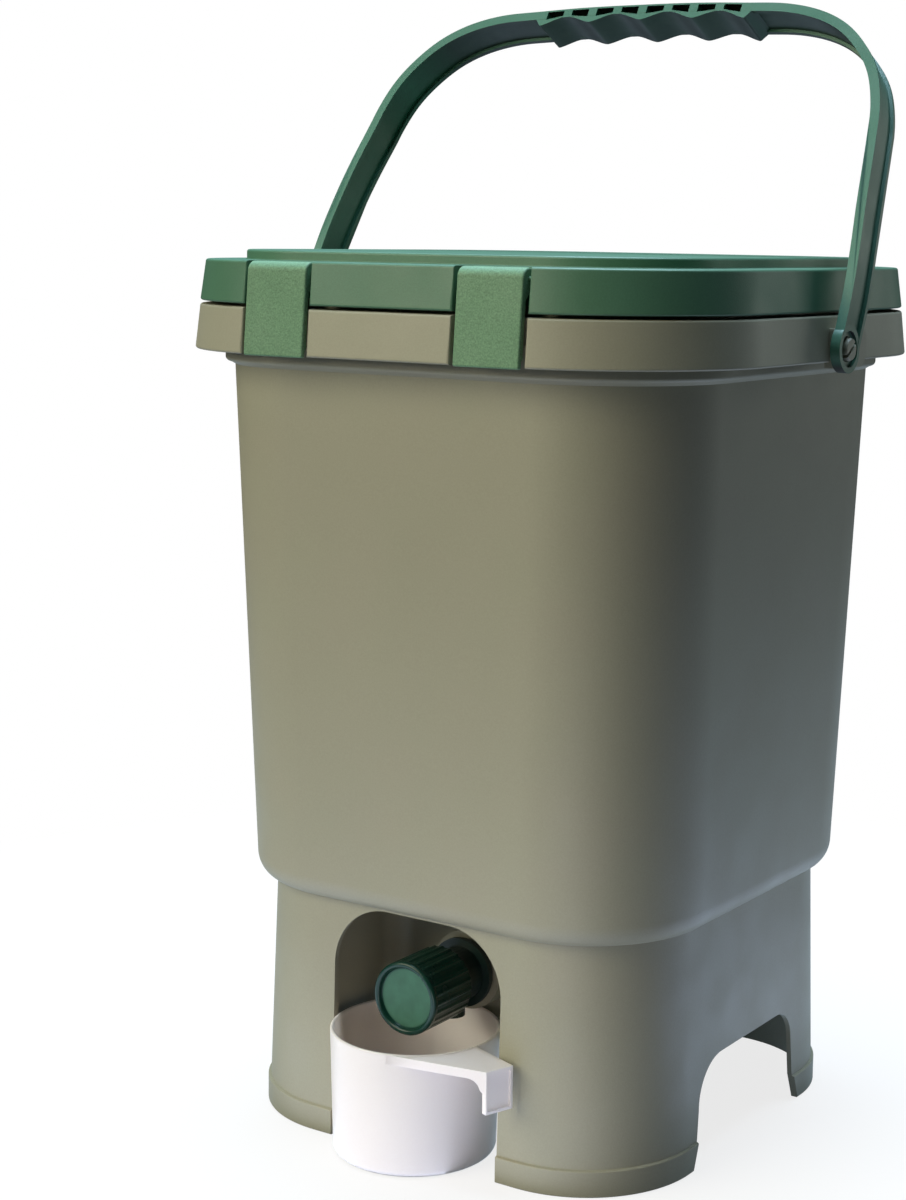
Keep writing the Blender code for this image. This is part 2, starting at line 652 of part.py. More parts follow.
def add_ear(body, side):
    """The flat ear behind a bail eye, and the split stud that the eye turns on."""
    low = PIVOT_Z - EAR_RADIUS
    outline = arc(0.0, PIVOT_Z, EAR_RADIUS, 90.0, 270.0, 2 * ARC_STEPS)
    outline += arc(EAR_BACK - EAR_CORNER, low + EAR_CORNER, EAR_CORNER, -90.0, 0.0)
    outline += arc(EAR_BACK - EAR_CORNER, PIVOT_Z + EAR_RADIUS - EAR_CORNER, EAR_CORNER, 0.0, 90.0)
    inner = BAND_HALF_HIGH - WALL / 2.0
    outer = BAND_HALF_LOW + EAR_REACH
    ends = sorted((side * inner, side * outer))
    join(body, prism("ear", outline, ends[0], ends[1], axis="X"))
    stud = turned("stud", (
        (STUD_RADIUS, -WALL / 2.0),
        (STUD_RADIUS, STUD_LENGTH - 2.0 * EDGE),
        (STUD_RADIUS - EDGE, STUD_LENGTH),
    ), "body", SMALL_STEPS)
    slit = box(
        "slit",
        (-STUD_SLIT / 2.0, -STUD_RADIUS - EDGE, EDGE),
        (STUD_SLIT / 2.0, STUD_RADIUS + EDGE, STUD_LENGTH + EDGE))
    transform(slit, Matrix.Rotation(math.radians(35.0), 4, "Z"))
    cut(stud, slit)
    turn = Matrix.Rotation(math.radians(90.0 * side), 4, "Y")
    transform(stud, Matrix.Translation((side * outer, 0.0, PIVOT_Z)) @ turn)
    join(body, stud)


def add_catches(body):
    """Recesses in the band for the latches, each with a thicker back and a catch ridge."""
    half = LATCH_HALF + LATCH_SIDE_GAP
    for face in (1, -1):
        for across in (LATCH_SPACING, -LATCH_SPACING):
            def span(name, extra, near, far, low, high):
                ends = sorted((face * near, face * far))
                start = (across - half - extra, ends[0], low)
                return box(name, start, (across + half + extra, ends[1], high))

            behind = BAND_NOTCH_BACK - WALL
            join(body, span("backing", WALL, behind, BAND_SKIN - EDGE,
                            BAND_LOW + EDGE, BAND_HIGH - BAND_ROOF / 2.0))
            cut(body, span("recess", 0.0, BAND_NOTCH_BACK, BAND_HALF_LOW + CUT_OVER,
                           BAND_LOW - CUT_OVER, BAND_HIGH + EDGE))
            join(body, span("catch", WALL / 2.0, BAND_NOTCH_BACK - WALL / 2.0,
                            BAND_NOTCH_BACK + CATCH_PROUD, CATCH_LOW, CATCH_HIGH))


def make_lid():
    inner = LID_RADIUS - LID_WALL
    roof = LID_DECK - LID_WALL
    groove_out = GROOVE_OUTER - LID_HALF_LOW + LID_RADIUS
    groove_in = GROOVE_INNER - LID_HALF_LOW + LID_RADIUS
    under = PLATEAU_HALF - LID_WALL
    loops = [
        ring(PLATEAU_HALF - 2.0 * LID_EDGE, PLATEAU_RADIUS - 2.0 * LID_EDGE, PLATEAU_TOP),
        ring(PLATEAU_HALF - LID_EDGE, PLATEAU_RADIUS - LID_EDGE, PLATEAU_TOP - LID_EDGE / 3.0),
        ring(PLATEAU_HALF - EDGE, PLATEAU_RADIUS - EDGE, PLATEAU_TOP - LID_EDGE),
        ring(PLATEAU_HALF, PLATEAU_RADIUS, LID_DECK + EDGE),
        ring(PLATEAU_HALF + EDGE, PLATEAU_RADIUS + EDGE, LID_DECK),
        ring(LID_HALF_HIGH - LID_EDGE, LID_RADIUS - LID_EDGE, LID_DECK),
        ring(LID_HALF_HIGH - LID_EDGE / 3.0, LID_RADIUS - LID_EDGE / 3.0, LID_DECK - LID_EDGE / 3.0),
        ring(LID_HALF_HIGH, LID_RADIUS, LID_DECK - LID_EDGE),
        ring(LID_HALF_LOW, LID_RADIUS, LID_LOW + EDGE),
        ring(LID_HALF_LOW - EDGE, LID_RADIUS - EDGE, LID_LOW),
        ring(LID_HALF_LOW - LID_WALL, inner, LID_LOW),
        ring(LID_HALF_HIGH - LID_WALL, inner, roof),
        ring(GROOVE_OUTER + RIB_WIDTH, groove_out + RIB_WIDTH, roof),
        ring(GROOVE_OUTER + RIB_WIDTH, groove_out + RIB_WIDTH, RIB_LOW),
        ring(GROOVE_OUTER, groove_out, RIB_LOW),
        ring(GROOVE_OUTER, groove_out, roof),
        ring(GROOVE_INNER, groove_in, roof),
        ring(GROOVE_INNER - PLUG_TAPER, groove_in - PLUG_TAPER, PLUG_LOW),
        ring(GROOVE_INNER - PLUG_TAPER - RIB_WIDTH, groove_in - PLUG_TAPER - RIB_WIDTH, PLUG_LOW),
        ring(GROOVE_INNER - RIB_WIDTH, groove_in - RIB_WIDTH, roof),
        ring(under, PLATEAU_RADIUS - LID_WALL, roof),
        ring(under, PLATEAU_RADIUS - LID_WALL, PLATEAU_TOP - LID_WALL),
    ]
    lid = loft("lid", loops, "lid")
    half = LATCH_HALF + LATCH_SIDE_GAP
    pin_hole = LATCH_PIN_RADIUS + LATCH_PIN_GAP
    for face in (1, -1):
        back, front = face * NOTCH_BACK, face * (LID_HALF_LOW + CUT_OVER)
        for across in (LATCH_SPACING, -LATCH_SPACING):
            cheek = sorted((face * (NOTCH_BACK - EDGE), face * (LID_SKIN - LID_WALL / 2.0)))
            outer = half + LATCH_CHEEK
            low = LATCH_PIVOT_Z - LATCH_CHEEK
            high = LID_DECK - LID_WALL / 2.0
            join(lid, box("cheeks", (across - outer, cheek[0], low), (across + outer, cheek[1], high)))
            ends = sorted((back, front))
            cut(lid, box("notch", (across - half, ends[0], LID_LOW - CUT_OVER),
                         (across + half, ends[1], LID_DECK + CUT_OVER)))
            reach = half + LATCH_PIN_LENGTH
            hole = [(face * LATCH_PIVOT_Y + y, LATCH_PIVOT_Z + z)
                    for y, z in arc(0.0, 0.0, pin_hole, 0.0, 345.0, SMALL_STEPS - 1)]
            cut(lid, prism("pin_hole", hole, across - reach, across + reach, axis="X"))
    smooth(lid)
    return lid


def make_seal():
    """The soft ring in the lid's groove, with a shallow channel for the tub's upstand."""
    outer = GROOVE_OUTER - SEAL_GAP
    inner = GROOVE_INNER + SEAL_GAP
    shift = LID_RADIUS - LID_HALF_LOW
    top = LID_DECK - LID_WALL - SEAL_GAP
    lip = (outer - inner) / 4.0
    profile = (
        (outer, SEAL_LOW),
        (outer, top),
        (inner, top),
        (inner, SEAL_LOW),
        (inner + lip, SEAL_LOW),
        (inner + lip + EDGE, SEAL_LOW + SEAL_GROOVE),
        (outer - lip - EDGE, SEAL_LOW + SEAL_GROOVE),
        (outer - lip, SEAL_LOW),
    )
    seal = loft("lid_seal", [ring(h, h + shift, z) for h, z in profile], "seal", cyclic=True)
    smooth(seal)
    return seal


def latch_profile():
    """Side outline of a latch about its pin, outward along -Y."""
    def at(face, z):
        return (-(face - LATCH_PIVOT_Y), z - LATCH_PIVOT_Z)

    low_face = LATCH_FACE_LOW - LATCH_THICK
    slope = (LATCH_FACE_LOW - LATCH_FACE_HIGH) / (LATCH_PIVOT_Z - LATCH_LOW)

    def inside(z):
        return LATCH_FACE_HIGH - LATCH_THICK + slope * (LATCH_PIVOT_Z - z)

    points = arc(0.0, 0.0, LATCH_RADIUS, -20.0, 180.0, 3 * ARC_STEPS)
    points += [
        at(LATCH_FACE_LOW - slope * EDGE, LATCH_LOW + LATCH_CORNER),
        at(LATCH_FACE_LOW - LATCH_CORNER / 2.0, LATCH_LOW),
        at(low_face + LATCH_CORNER / 2.0, LATCH_LOW),
        at(low_face, LATCH_LOW + LATCH_CORNER / 2.0),
        at(inside(BUMP_LOW), BUMP_LOW),
        at(inside(BUMP_LOW) - BUMP_PROUD, BUMP_LOW + BUMP_PROUD),
        at(inside(BUMP_HIGH) - BUMP_PROUD, BUMP_HIGH - BUMP_PROUD),
        at(inside(BUMP_HIGH), BUMP_HIGH),
        at(inside(LATCH_PIVOT_Z - 2.0 * LATCH_RADIUS), LATCH_PIVOT_Z - 2.0 * LATCH_RADIUS),
    ]
    points += arc(0.0, 0.0, LATCH_RADIUS, -70.0, -40.0, 2)
    return points


def make_latch(name, across, face):
    outline = latch_profile()
    latch = prism(name, outline, -LATCH_HALF, LATCH_HALF, "latch", axis="X")
    pins = prism("pins", arc(0.0, 0.0, LATCH_PIN_RADIUS, 0.0, 345.0, SMALL_STEPS - 1),
                 -LATCH_HALF - LATCH_PIN_LENGTH, LATCH_HALF + LATCH_PIN_LENGTH, "latch", axis="X")
    join(latch, pins)
    if face > 0:
        transform(latch, Matrix.Rotation(math.pi, 4, "Z"))
    latch.location = (across, face * LATCH_PIVOT_Y, LATCH_PIVOT_Z)
    smooth(latch, 25.0)
    return latch


def smooth_path(points, steps):
    """A rounded path through points, as (position, tangent) pairs."""
    out = []
    full = [points[0]] + list(points) + [points[-1]]
    for i in range(1, len(full) - 2):
        p0, p1, p2, p3 = (Vector(full[i + k]) for k in (-1, 0, 1, 2))
        for k in range(steps):
            t = k / steps
            a = -p0 + 3.0 * p1 - 3.0 * p2 + p3
            b = 2.0 * p0 - 5.0 * p1 + 4.0 * p2 - p3
            c = p2 - p0
            out.append((p1 + 0.5 * (c * t + b * t * t + a * t * t * t)))
    out.append(Vector(points[-1]))
    return out


def bail_path():
    points = [(x * BAIL_EYE_X, z * BAIL_RISE) for x, z in BAIL_PATH_SHARES]
    half = smooth_path(points, BAIL_STEPS)
    left = [Vector((-p.x, p.y)) for p in half[:-1]]
    return left + list(reversed(half))


def bail_widths(path):
    """The strap's width at each point of the path: it grows from the eyes to the grip."""
    runs = [0.0]
    for a, b in zip(path, path[1:]):
        runs.append(runs[-1] + (b - a).length)
    to_grip = min(run for run, p in zip(runs, path) if abs(p.x) <= GRIP_HALF)
    widths = []
    for run in runs:
        share = min(1.0, run / to_grip, (runs[-1] - run) / to_grip)
        widths.append(blend(BAIL_WIDTH_EYE, BAIL_WIDTH_GRIP, share))
    return widths


def bail_sections(path):
    """Loops of (out, across) offsets along a path in the XZ plane; out is away from the middle."""
    loops = []
    widths = bail_widths(path)
    for i, p in enumerate(path):
        before = path[max(i - 1, 0)]
        after = path[min(i + 1, len(path) - 1)]
        run = (after - before).normalized()
        out = Vector((-run.y, run.x))
        section = strap_section(widths[i])
        loops.append([(p.x + out.x * n, w, p.y + out.y * n) for n, w in section])
    return loops


def strap_section(width):
    """An H: a thin web between two edge flanges, with small rounded edges."""
    t = BAIL_THICK / 2.0
    w = width / 2.0
    f = w - BAIL_FLANGE
    b = BAIL_WEB / 2.0
    e = BAIL_EDGE
    quarter = [(b, f), (t - e, f), (t, f + e), (t, w - e), (t - e, w)]
    points = [(n, -a) for n, a in reversed(quarter)]
    points += quarter
    points += [(-n, a) for n, a in reversed(quarter)]
    points += [(-n, -a) for n, a in quarter]
    return points


def grip_depth(u):
    """How far the grip hangs below the strap's middle: lobes between finger scallops."""
    wave = math.cos(2.0 * math.pi * u / GRIP_PITCH)
    fade = min(1.0, (GRIP_HALF - abs(u)) / GRIP_RAMP)
    return blend(BAIL_WEB / 2.0, GRIP_DROP + GRIP_WAVE * wave, fade)


def path_level(path, u):
    """The strap's middle height at a place along its span."""
    for a, b in zip(path, path[1:]):
        if a.x <= u <= b.x:
            return blend(a.y, b.y, (u - a.x) / (b.x - a.x))
    return path[0].y


def make_bail():
    path = bail_path()
    bail = loft("bail", bail_sections(path), "bail")
    top = []
    low = []
    for k in range(GRIP_SAMPLES + 1):
        u = GRIP_HALF * (2.0 * k / GRIP_SAMPLES - 1.0)
        level = path_level(path, u)
        top.append((u, level + BAIL_THICK / 2.0 - EDGE))
        low.append((u, level - grip_depth(u)))
    outline = low + list(reversed(top))
    flank = BAIL_WIDTH_GRIP / 2.0 - EDGE
    grip = prism("grip", outline, -flank, flank, "bail", axis="Y")
    join(bail, grip)
    for face in (1, -1):
        for k in range(POCKET_COUNT):
            u = POCKET_PITCH * (k - (POCKET_COUNT - 1) / 2.0)
            level = path_level(path, u) + BAIL_THICK / 2.0 - POCKET_RISE - POCKET_HEIGHT
            near = BAIL_WIDTH_GRIP / 2.0 - POCKET_DEPTH
            ends = sorted((face * near, face * (BAIL_WIDTH_GRIP / 2.0 + EDGE)))
            half = POCKET_WIDTH / 2.0
            cut(bail, box("pocket", (u - half, ends[0], level),
                          (u + half, ends[1], level + POCKET_HEIGHT)))
    for side in (1, -1):
        centre = side * BAIL_EYE_X
        eye = turned("eye", (
            (EYE_RADIUS - EDGE, -BAIL_THICK / 2.0),
            (EYE_RADIUS, -BAIL_THICK / 2.0 + EDGE),
            (EYE_RADIUS, BAIL_THICK / 2.0 - EDGE),
            (EYE_RADIUS - EDGE, BAIL_THICK / 2.0),
        ), "bail", SMALL_STEPS)
        transform(eye, Matrix.Translation((centre, 0.0, 0.0)) @ Matrix.Rotation(math.radians(90.0), 4, "Y"))
        join(bail, eye)
        bore = turned("eye_bore", (
            (EYE_BORE, -BAIL_THICK),
            (EYE_BORE, BAIL_THICK),
        ), "bail", SMALL_STEPS)
        transform(bore, Matrix.Translation((centre, 0.0, 0.0)) @ Matrix.Rotation(math.radians(90.0), 4, "Y"))
        cut(bail, bore)
    smooth(bail)
    pivot = bpy.data.objects.new("bail_pivot", None)
    bpy.context.scene.collection.objects.link(pivot)
    pivot.location = (0.0, 0.0, PIVOT_Z)
    pivot.rotation_euler = (-BAIL_TILT, 0.0, 0.0)
    bail.parent = pivot
    return bail


def slot_outline(x, y):
    half = (SLOT_LENGTH - SLOT_WIDTH) / 2.0
    points = arc(x + half, y, SLOT_WIDTH / 2.0, -90.0, 90.0, SLOT_STEPS)
    points += arc(x - half, y, SLOT_WIDTH / 2.0, 90.0, 270.0, SLOT_STEPS)
    return points


def make_grid():
    low = LEDGE_TOP + GRID_GAP
    high = low + GRID_THICK
    grid = loft("drain_grid", [
        ring(GRID_HALF - EDGE, GRID_RADIUS - EDGE, low),
        ring(GRID_HALF, GRID_RADIUS, low + EDGE),
        ring(GRID_HALF, GRID_RADIUS, high - EDGE),
        ring(GRID_HALF - EDGE, GRID_RADIUS - EDGE, high),
    ], "grid")
    bm = bmesh.new()
    for i in range(SLOT_COLUMNS):
        x = SLOT_PITCH_X * (i - (SLOT_COLUMNS - 1) / 2.0)
        for j in range(SLOT_ROWS):
            y = SLOT_PITCH_Y * (j - (SLOT_ROWS - 1) / 2.0)
            corner = Vector((abs(x) + SLOT_LENGTH / 2.0, abs(y) + SLOT_WIDTH / 2.0))
            if max(corner) > SLOT_REACH or corner.length > SLOT_REACH * SLOT_CORNER_SHARE:
                continue
            if abs(j - (SLOT_ROWS - 1) / 2.0) < 1.0 and abs(i - (SLOT_COLUMNS - 1) / 2.0) < 3.0:
                continue
            outline = slot_outline(x, y)
            rows = [[bm.verts.new((a, b, z)) for a, b in outline]
                    for z in (low - CUT_OVER, high + CUT_OVER)]
            for k in range(len(outline)):
                n = (k + 1) % len(outline)
                bm.faces.new((rows[0][k], rows[0][n], rows[1][n], rows[1][k]))
            bm.faces.new(list(reversed(rows[0])))
            bm.faces.new(rows[1])
    cut(grid, object_from(bm, "slots", "grid"))
    for side in (1, -1):
        x = side * LIFT_TAB_SPACING
        tab = [(x - LIFT_TAB_HALF, high - EDGE), (x + LIFT_TAB_HALF, high - EDGE)]
        tab += arc(x, high + LIFT_TAB_HEIGHT - LIFT_TAB_HALF, LIFT_TAB_HALF, 0.0, 180.0, 2 * ARC_STEPS)
        lug = prism("tab", tab, -LIFT_TAB_THICK / 2.0, LIFT_TAB_THICK / 2.0, "grid", axis="Y")
        join(grid, lug)
    smooth(grid)
    return grid


def make_tap():
    flange_back = BOSS_FACE + WASHER_THICK + 2.0 * TAP_GAP
    flange_front = flange_back + FLANGE_THICK
    washer = along_y(turned("tap_washer_outer", (
        (WASHER_BORE, BOSS_FACE + TAP_GAP),
        (WASHER_RADIUS, BOSS_FACE + TAP_GAP),
        (WASHER_RADIUS, BOSS_FACE + TAP_GAP + WASHER_THICK),
        (WASHER_BORE, BOSS_FACE + TAP_GAP + WASHER_THICK),
    ), "seal", cyclic=True))
    wall = BAY_BACK - WALL
    inner = along_y(turned("tap_washer_inner", (
        (WASHER_BORE, wall - TAP_GAP),
        (INNER_WASHER_RADIUS, wall - TAP_GAP),
        (INNER_WASHER_RADIUS, wall - TAP_GAP - WASHER_THICK),
        (WASHER_BORE, wall - TAP_GAP - WASHER_THICK),
    ), "seal", cyclic=True))
    nut_front = wall - 2.0 * TAP_GAP - WASHER_THICK
    nut = along_y(turned("tap_nut", (
        (NUT_RADIUS, nut_front),
        (NUT_RADIUS, nut_front - NUT_THICK),
    ), "nut", 6))
    cut(nut, along_y(turned("nut_bore", (
        (WASHER_BORE, nut_front + CUT_OVER),
        (WASHER_BORE, nut_front - NUT_THICK - CUT_OVER),
    ), "nut")))
    body = along_y(turned("tap_body", (
        (SPIGOT_RADIUS - EDGE, SPIGOT_END),
        (SPIGOT_RADIUS, SPIGOT_END + EDGE),
        (SPIGOT_RADIUS, flange_back),
        (FLANGE_RADIUS, flange_back),
        (FLANGE_RADIUS, flange_front),
        (BARREL_RADIUS, flange_front),
        (BARREL_RADIUS, BARREL_FRONT - EDGE),
        (BARREL_RADIUS - EDGE, BARREL_FRONT),
    ), "tap"))
    spout = turned("spout", (
        (SPOUT_RADIUS, SPOUT_LOW),
        (SPOUT_RADIUS, TAP_Z - BARREL_RADIUS / 2.0),
    ), "tap", SMALL_STEPS)
    transform(spout, Matrix.Translation((0.0, -SPOUT_Y, 0.0)))
    join(body, spout)
    cut(body, along_y(turned("through", (
        (SPIGOT_BORE, SPIGOT_END - CUT_OVER),
        (SPIGOT_BORE, CHAMBER_BACK),
        (CHAMBER_RADIUS, CHAMBER_BACK),
        (CHAMBER_RADIUS, BARREL_FRONT + CUT_OVER),
    ), "tap")))
    outlet = turned("outlet", (
        (SPOUT_BORE, SPOUT_LOW - CUT_OVER),
        (SPOUT_BORE, TAP_Z),
    ), "tap", SMALL_STEPS)
    transform(outlet, Matrix.Translation((0.0, -SPOUT_Y, 0.0)))
    cut(body, outlet)
    for obj in (washer, inner, nut, body):
        smooth(obj)


def make_plug():
    """The turning plug: hollow from behind, with a side port that meets the spout when open."""
    profile = [(PLUG_RADIUS, PLUG_BACK)]
    for middle in (ORING_BACK_Y, ORING_FRONT_Y):
        profile += [
            (PLUG_RADIUS, middle - ORING_HALF_WIDTH),
            (ORING_GROOVE, middle - ORING_HALF_WIDTH),
            (ORING_GROOVE, middle + ORING_HALF_WIDTH),
            (PLUG_RADIUS, middle + ORING_HALF_WIDTH),
        ]
    profile.append((PLUG_RADIUS, PLUG_FRONT))
    plug = along_y(turned("tap_plug", profile, "nut"))
    join(plug, box(
        "stem",
        (-STEM_HALF, -STEM_FRONT, TAP_Z - STEM_HALF),
        (STEM_HALF, -PLUG_FRONT + EDGE, TAP_Z + STEM_HALF), "nut"))
    cut(plug, along_y(turned("plug_bore", (
        (PLUG_BORE, PLUG_BACK - CUT_OVER),
        (PLUG_BORE, PLUG_BORE_END),
    ), "nut", SMALL_STEPS)))
    port = turned("port", (
        (PORT_RADIUS, 0.0),
        (PORT_RADIUS, PLUG_RADIUS + EDGE),
    ), "nut", SMALL_STEPS)
    turn = Matrix.Rotation(math.radians(90.0), 4, "Y")
    transform(port, Matrix.Translation((0.0, -SPOUT_Y, TAP_Z)) @ turn)
    cut(plug, port)
    smooth(plug)
    for name, middle in (("tap_oring_back", ORING_BACK_Y), ("tap_oring_front", ORING_FRONT_Y)):
        turn = 360.0 / ORING_STEPS
        ends = arc(ORING_MAJOR, middle, ORING_MINOR, 0.0, 360.0 - turn, ORING_STEPS - 1)
        oring = along_y(turned(name, ends, "seal", SMALL_STEPS, cyclic=True))
        smooth(oring, 60.0)


def make_knob():
    outer = []
    for k in range(KNOB_RIBS * 4):
        a = 2.0 * math.pi * k / (KNOB_RIBS * 4)
        radius = KNOB_RIB_RADIUS if k % 4 in (0, 1) else KNOB_RADIUS
        outer.append((radius * math.cos(a), radius * math.sin(a)))

    def plain(radius, z):
        return circle(radius, z, KNOB_RIBS * 4)

    rim = KNOB_RIB_RADIUS
    loops = [
        [(x, y, KNOB_BACK) for x, y in outer],
        [(x, y, KNOB_RIB_FRONT) for x, y in outer],
        plain(rim, KNOB_RIB_FRONT + EDGE),
        plain(rim, KNOB_FACE - 2.0 * EDGE),
        plain(rim - EDGE, KNOB_FACE),
        plain(rim - KNOB_RIM, KNOB_FACE),
        plain(rim - KNOB_RIM - EDGE, KNOB_FACE - KNOB_RECESS),
    ]
    knob = along_y(loft("tap_knob", loops, "knob"))
    cut(knob, along_y(turned("knob_hollow", (
        (KNOB_INNER, KNOB_BACK - CUT_OVER),
        (KNOB_INNER, KNOB_WEB),
    ), "knob")))
    socket = STEM_HALF + TAP_GAP
    cut(knob, box(
        "socket",
        (-socket, -STEM_FRONT - TAP_GAP, TAP_Z - socket),
        (socket, -KNOB_WEB + CUT_OVER, TAP_Z + socket), "knob"))
    smooth(knob)
    knob_origin(knob)
    return knob


def knob_origin(obj):
    """Puts a tap piece's origin on the tap's axis."""
    transform(obj, Matrix.Translation((0.0, 0.0, -TAP_Z)))
    obj.location = (0.0, 0.0, TAP_Z)


def make_cup():
    inner = CUP_RIM - CUP_WALL
    base = CUP_BASE - CUP_WALL
    f = CUP_FILLET
    g = CUP_FILLET * CUP_FILLET_SHARE
    profile = [
        (CUP_BASE - f, 0.0),
        (CUP_BASE - g, g),
        (CUP_BASE, f),
        (CUP_RIM, CUP_HEIGHT - EDGE),
        (CUP_RIM - EDGE, CUP_HEIGHT),
        (inner + EDGE, CUP_HEIGHT),
        (inner, CUP_HEIGHT - EDGE),
        (base, CUP_WALL + f),
        (base - g, CUP_WALL + g),
        (base - f, CUP_WALL),
    ]
    cup = turned("cup", profile, "cup")
    top = CUP_HEIGHT - 1.5 * EDGE
    under = CUP_HEIGHT - CUP_FLANGE
    low = under - FLANGE_RIB_DROP
    flange = cup_flange(0.0, low, top)
    cut(flange, cup_flange(STRAP_RIB, low - CUT_OVER, under))
    outer_x = CUP_REACH + STRAP_RIB_PROUD
    strap_low = under - STRAP_DROP
    strap = box("strap", (CUP_REACH - STRAP_THICK, -STRAP_HALF, strap_low),
                (outer_x, STRAP_HALF, CUP_HEIGHT - 2.0 * EDGE), "cup")
    cut(strap, box("channel", (CUP_REACH, STRAP_RIB - STRAP_HALF, strap_low - CUT_OVER),
                   (outer_x + CUT_OVER, STRAP_HALF - STRAP_RIB, under - EDGE), "cup"))
    join(flange, strap)
    cut(flange, turned("mouth", (
        (CUP_RIM - CUP_WALL / 2.0, low - CUT_OVER),
        (CUP_RIM - CUP_WALL / 2.0, CUP_HEIGHT + CUT_OVER),
    ), "cup"))
    join(cup, flange)
    transform(cup, Matrix.Rotation(CUP_ANGLE, 4, "Z"))
    cup.location = (CUP_X, CUP_Y, 0.0)
    smooth(cup)
    return cup


def cup_flange(inset, low, high):
    """The flat top of the cup's handle: from the rim's side to the strap, narrowing."""
    reach = CUP_REACH + STRAP_RIB_PROUD - EDGE / 2.0 - inset
    half = STRAP_HALF - EDGE / 2.0 - inset
    radius = CUP_RIM - EDGE / 2.0 - inset
    near = math.atan2(-half, reach) - math.acos(radius / math.hypot(reach, half))
    start = math.asin(half / radius)
    steps = 2 * ARC_STEPS
    outline = []
    for k in range(steps + 1):
        a = blend(start, near, k / steps)
        outline.append((radius * math.cos(a), radius * math.sin(a)))
    hub_share = (radius - 2.0 * CUP_WALL) / radius
    inner = [(x * hub_share, y * hub_share) for x, y in outline]
    points = [(reach, half), outline[0]] + inner + [outline[-1], (reach, -half)]
    return prism("flange", points, low, high, "cup")


def main():
    clear_scene()
    make_body()
    make_lid()
    make_seal()
    make_latch("latch_front_left", -LATCH_SPACING, -1)
    make_latch("latch_front_right", LATCH_SPACING, -1)
    make_latch("latch_back_left", -LATCH_SPACING, 1)
    make_latch("latch_back_right", LATCH_SPACING, 1)
    make_bail()
    make_grid()
    make_tap()
    make_plug()
    make_knob()
    make_cup()


main()
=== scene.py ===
"""The looks of the kitchen compost bin: finer meshes and plastics for each piece, camera and light."""

import math

import bmesh
import bpy
from mathutils import Matrix, Vector


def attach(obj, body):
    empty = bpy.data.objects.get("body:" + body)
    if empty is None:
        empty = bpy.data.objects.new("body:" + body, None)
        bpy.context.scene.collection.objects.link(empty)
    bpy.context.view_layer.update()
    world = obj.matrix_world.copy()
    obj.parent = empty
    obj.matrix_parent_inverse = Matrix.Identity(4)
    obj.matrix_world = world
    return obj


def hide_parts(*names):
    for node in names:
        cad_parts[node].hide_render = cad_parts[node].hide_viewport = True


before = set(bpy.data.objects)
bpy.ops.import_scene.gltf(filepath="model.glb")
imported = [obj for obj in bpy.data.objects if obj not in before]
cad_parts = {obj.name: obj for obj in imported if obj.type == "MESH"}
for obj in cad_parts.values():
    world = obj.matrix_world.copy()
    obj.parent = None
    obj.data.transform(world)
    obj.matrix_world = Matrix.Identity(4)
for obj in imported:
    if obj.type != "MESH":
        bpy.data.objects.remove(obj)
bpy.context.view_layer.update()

# Sizes in metres. Most are the solids' own; a few differ to follow the photo.
WALL = 0.0024
EDGE = 0.0006
FOOT_HALF, FOOT_RADIUS, FOOT_TOP = 0.1132, 0.0566, 0.0120
SKIRT_LOW, SKIRT_HIGH, SKIRT_RADIUS = 0.1122, 0.1096, 0.0556
STEP_LOW, STEP_HIGH = 0.1128, 0.1240
TUB_LOW, TUB_HIGH, TUB_RADIUS, TUB_TOP = 0.1177, 0.1250, 0.0600, 0.3558
NECK_HALF, NECK_RADIUS, NECK_LOW, NECK_EDGE = 0.1295, 0.0645, 0.3572, 0.0020
BAND_LOW_HALF, BAND_HIGH_HALF, BAND_RADIUS, BAND_SKIN = 0.1431, 0.1416, 0.0780, 0.1405
BAND_LOW, BAND_HIGH, BAND_ROOF, BAND_EDGE = 0.3629, 0.3835, 0.0031, 0.0011
UPSTAND_HALF, UPSTAND_RADIUS, UPSTAND_TOP = 0.1280, 0.0632, 0.3960
FLOOR_UNDER, FLOOR_TOP, FLOOR_FILLET = 0.0580, 0.0610, 0.0040
LEDGE_TOP, LEDGE_REACH = 0.1195, 0.0076
BAY_HALF, BAY_FRONT, BAY_BACK, BAY_ROOF, BAY_CORNER = 0.0500, 0.1076, 0.0584, 0.1146, 0.0120
BAY_LOW = 0.0430
ARCH_HALF, ARCH_TOP, ARCH_RADIUS = 0.0460, 0.1112, 0.0290
SIDE_FOOT, SIDE_LOW, SIDE_HIGH = 0.0525, 0.0478, 0.0462
SIDE_SPLAY, SIDE_TOP, SIDE_RADIUS = 0.0130, 0.0475, 0.0150
SIDE_FRONT_RADIUS = 0.0215
OVER = 0.0100
PIVOT_Z = 0.3690
EAR_REACH, EAR_RADIUS, EAR_NEAR, EAR_BACK, EAR_CORNER = 0.0034, 0.0088, 0.0008, 0.0300, 0.0060
STUD_RADIUS, STUD_LENGTH, STUD_SLIT = 0.0052, 0.0068, 0.0016
BOSS_RADIUS, BOSS_FACE, BOSS_BORE, TAP_Z = 0.0185, 0.0700, 0.0095, 0.0766

LID_LOW_HALF, LID_HIGH_HALF, LID_RADIUS = 0.1411, 0.1394, 0.0768
LID_LOW, LID_DECK, LID_WALL, LID_EDGE, LID_SKIN = 0.3850, 0.4039, 0.0024, 0.0012, 0.1379
PLATEAU_HALF, PLATEAU_RADIUS, PLATEAU_TOP = 0.1203, 0.0570, 0.4084
GROOVE_OUTER, GROOVE_INNER, RIB_WIDTH, RIB_LOW = 0.1300, 0.1236, 0.0020, 0.3880
PLUG_LOW, PLUG_TAPER = 0.3750, 0.0016

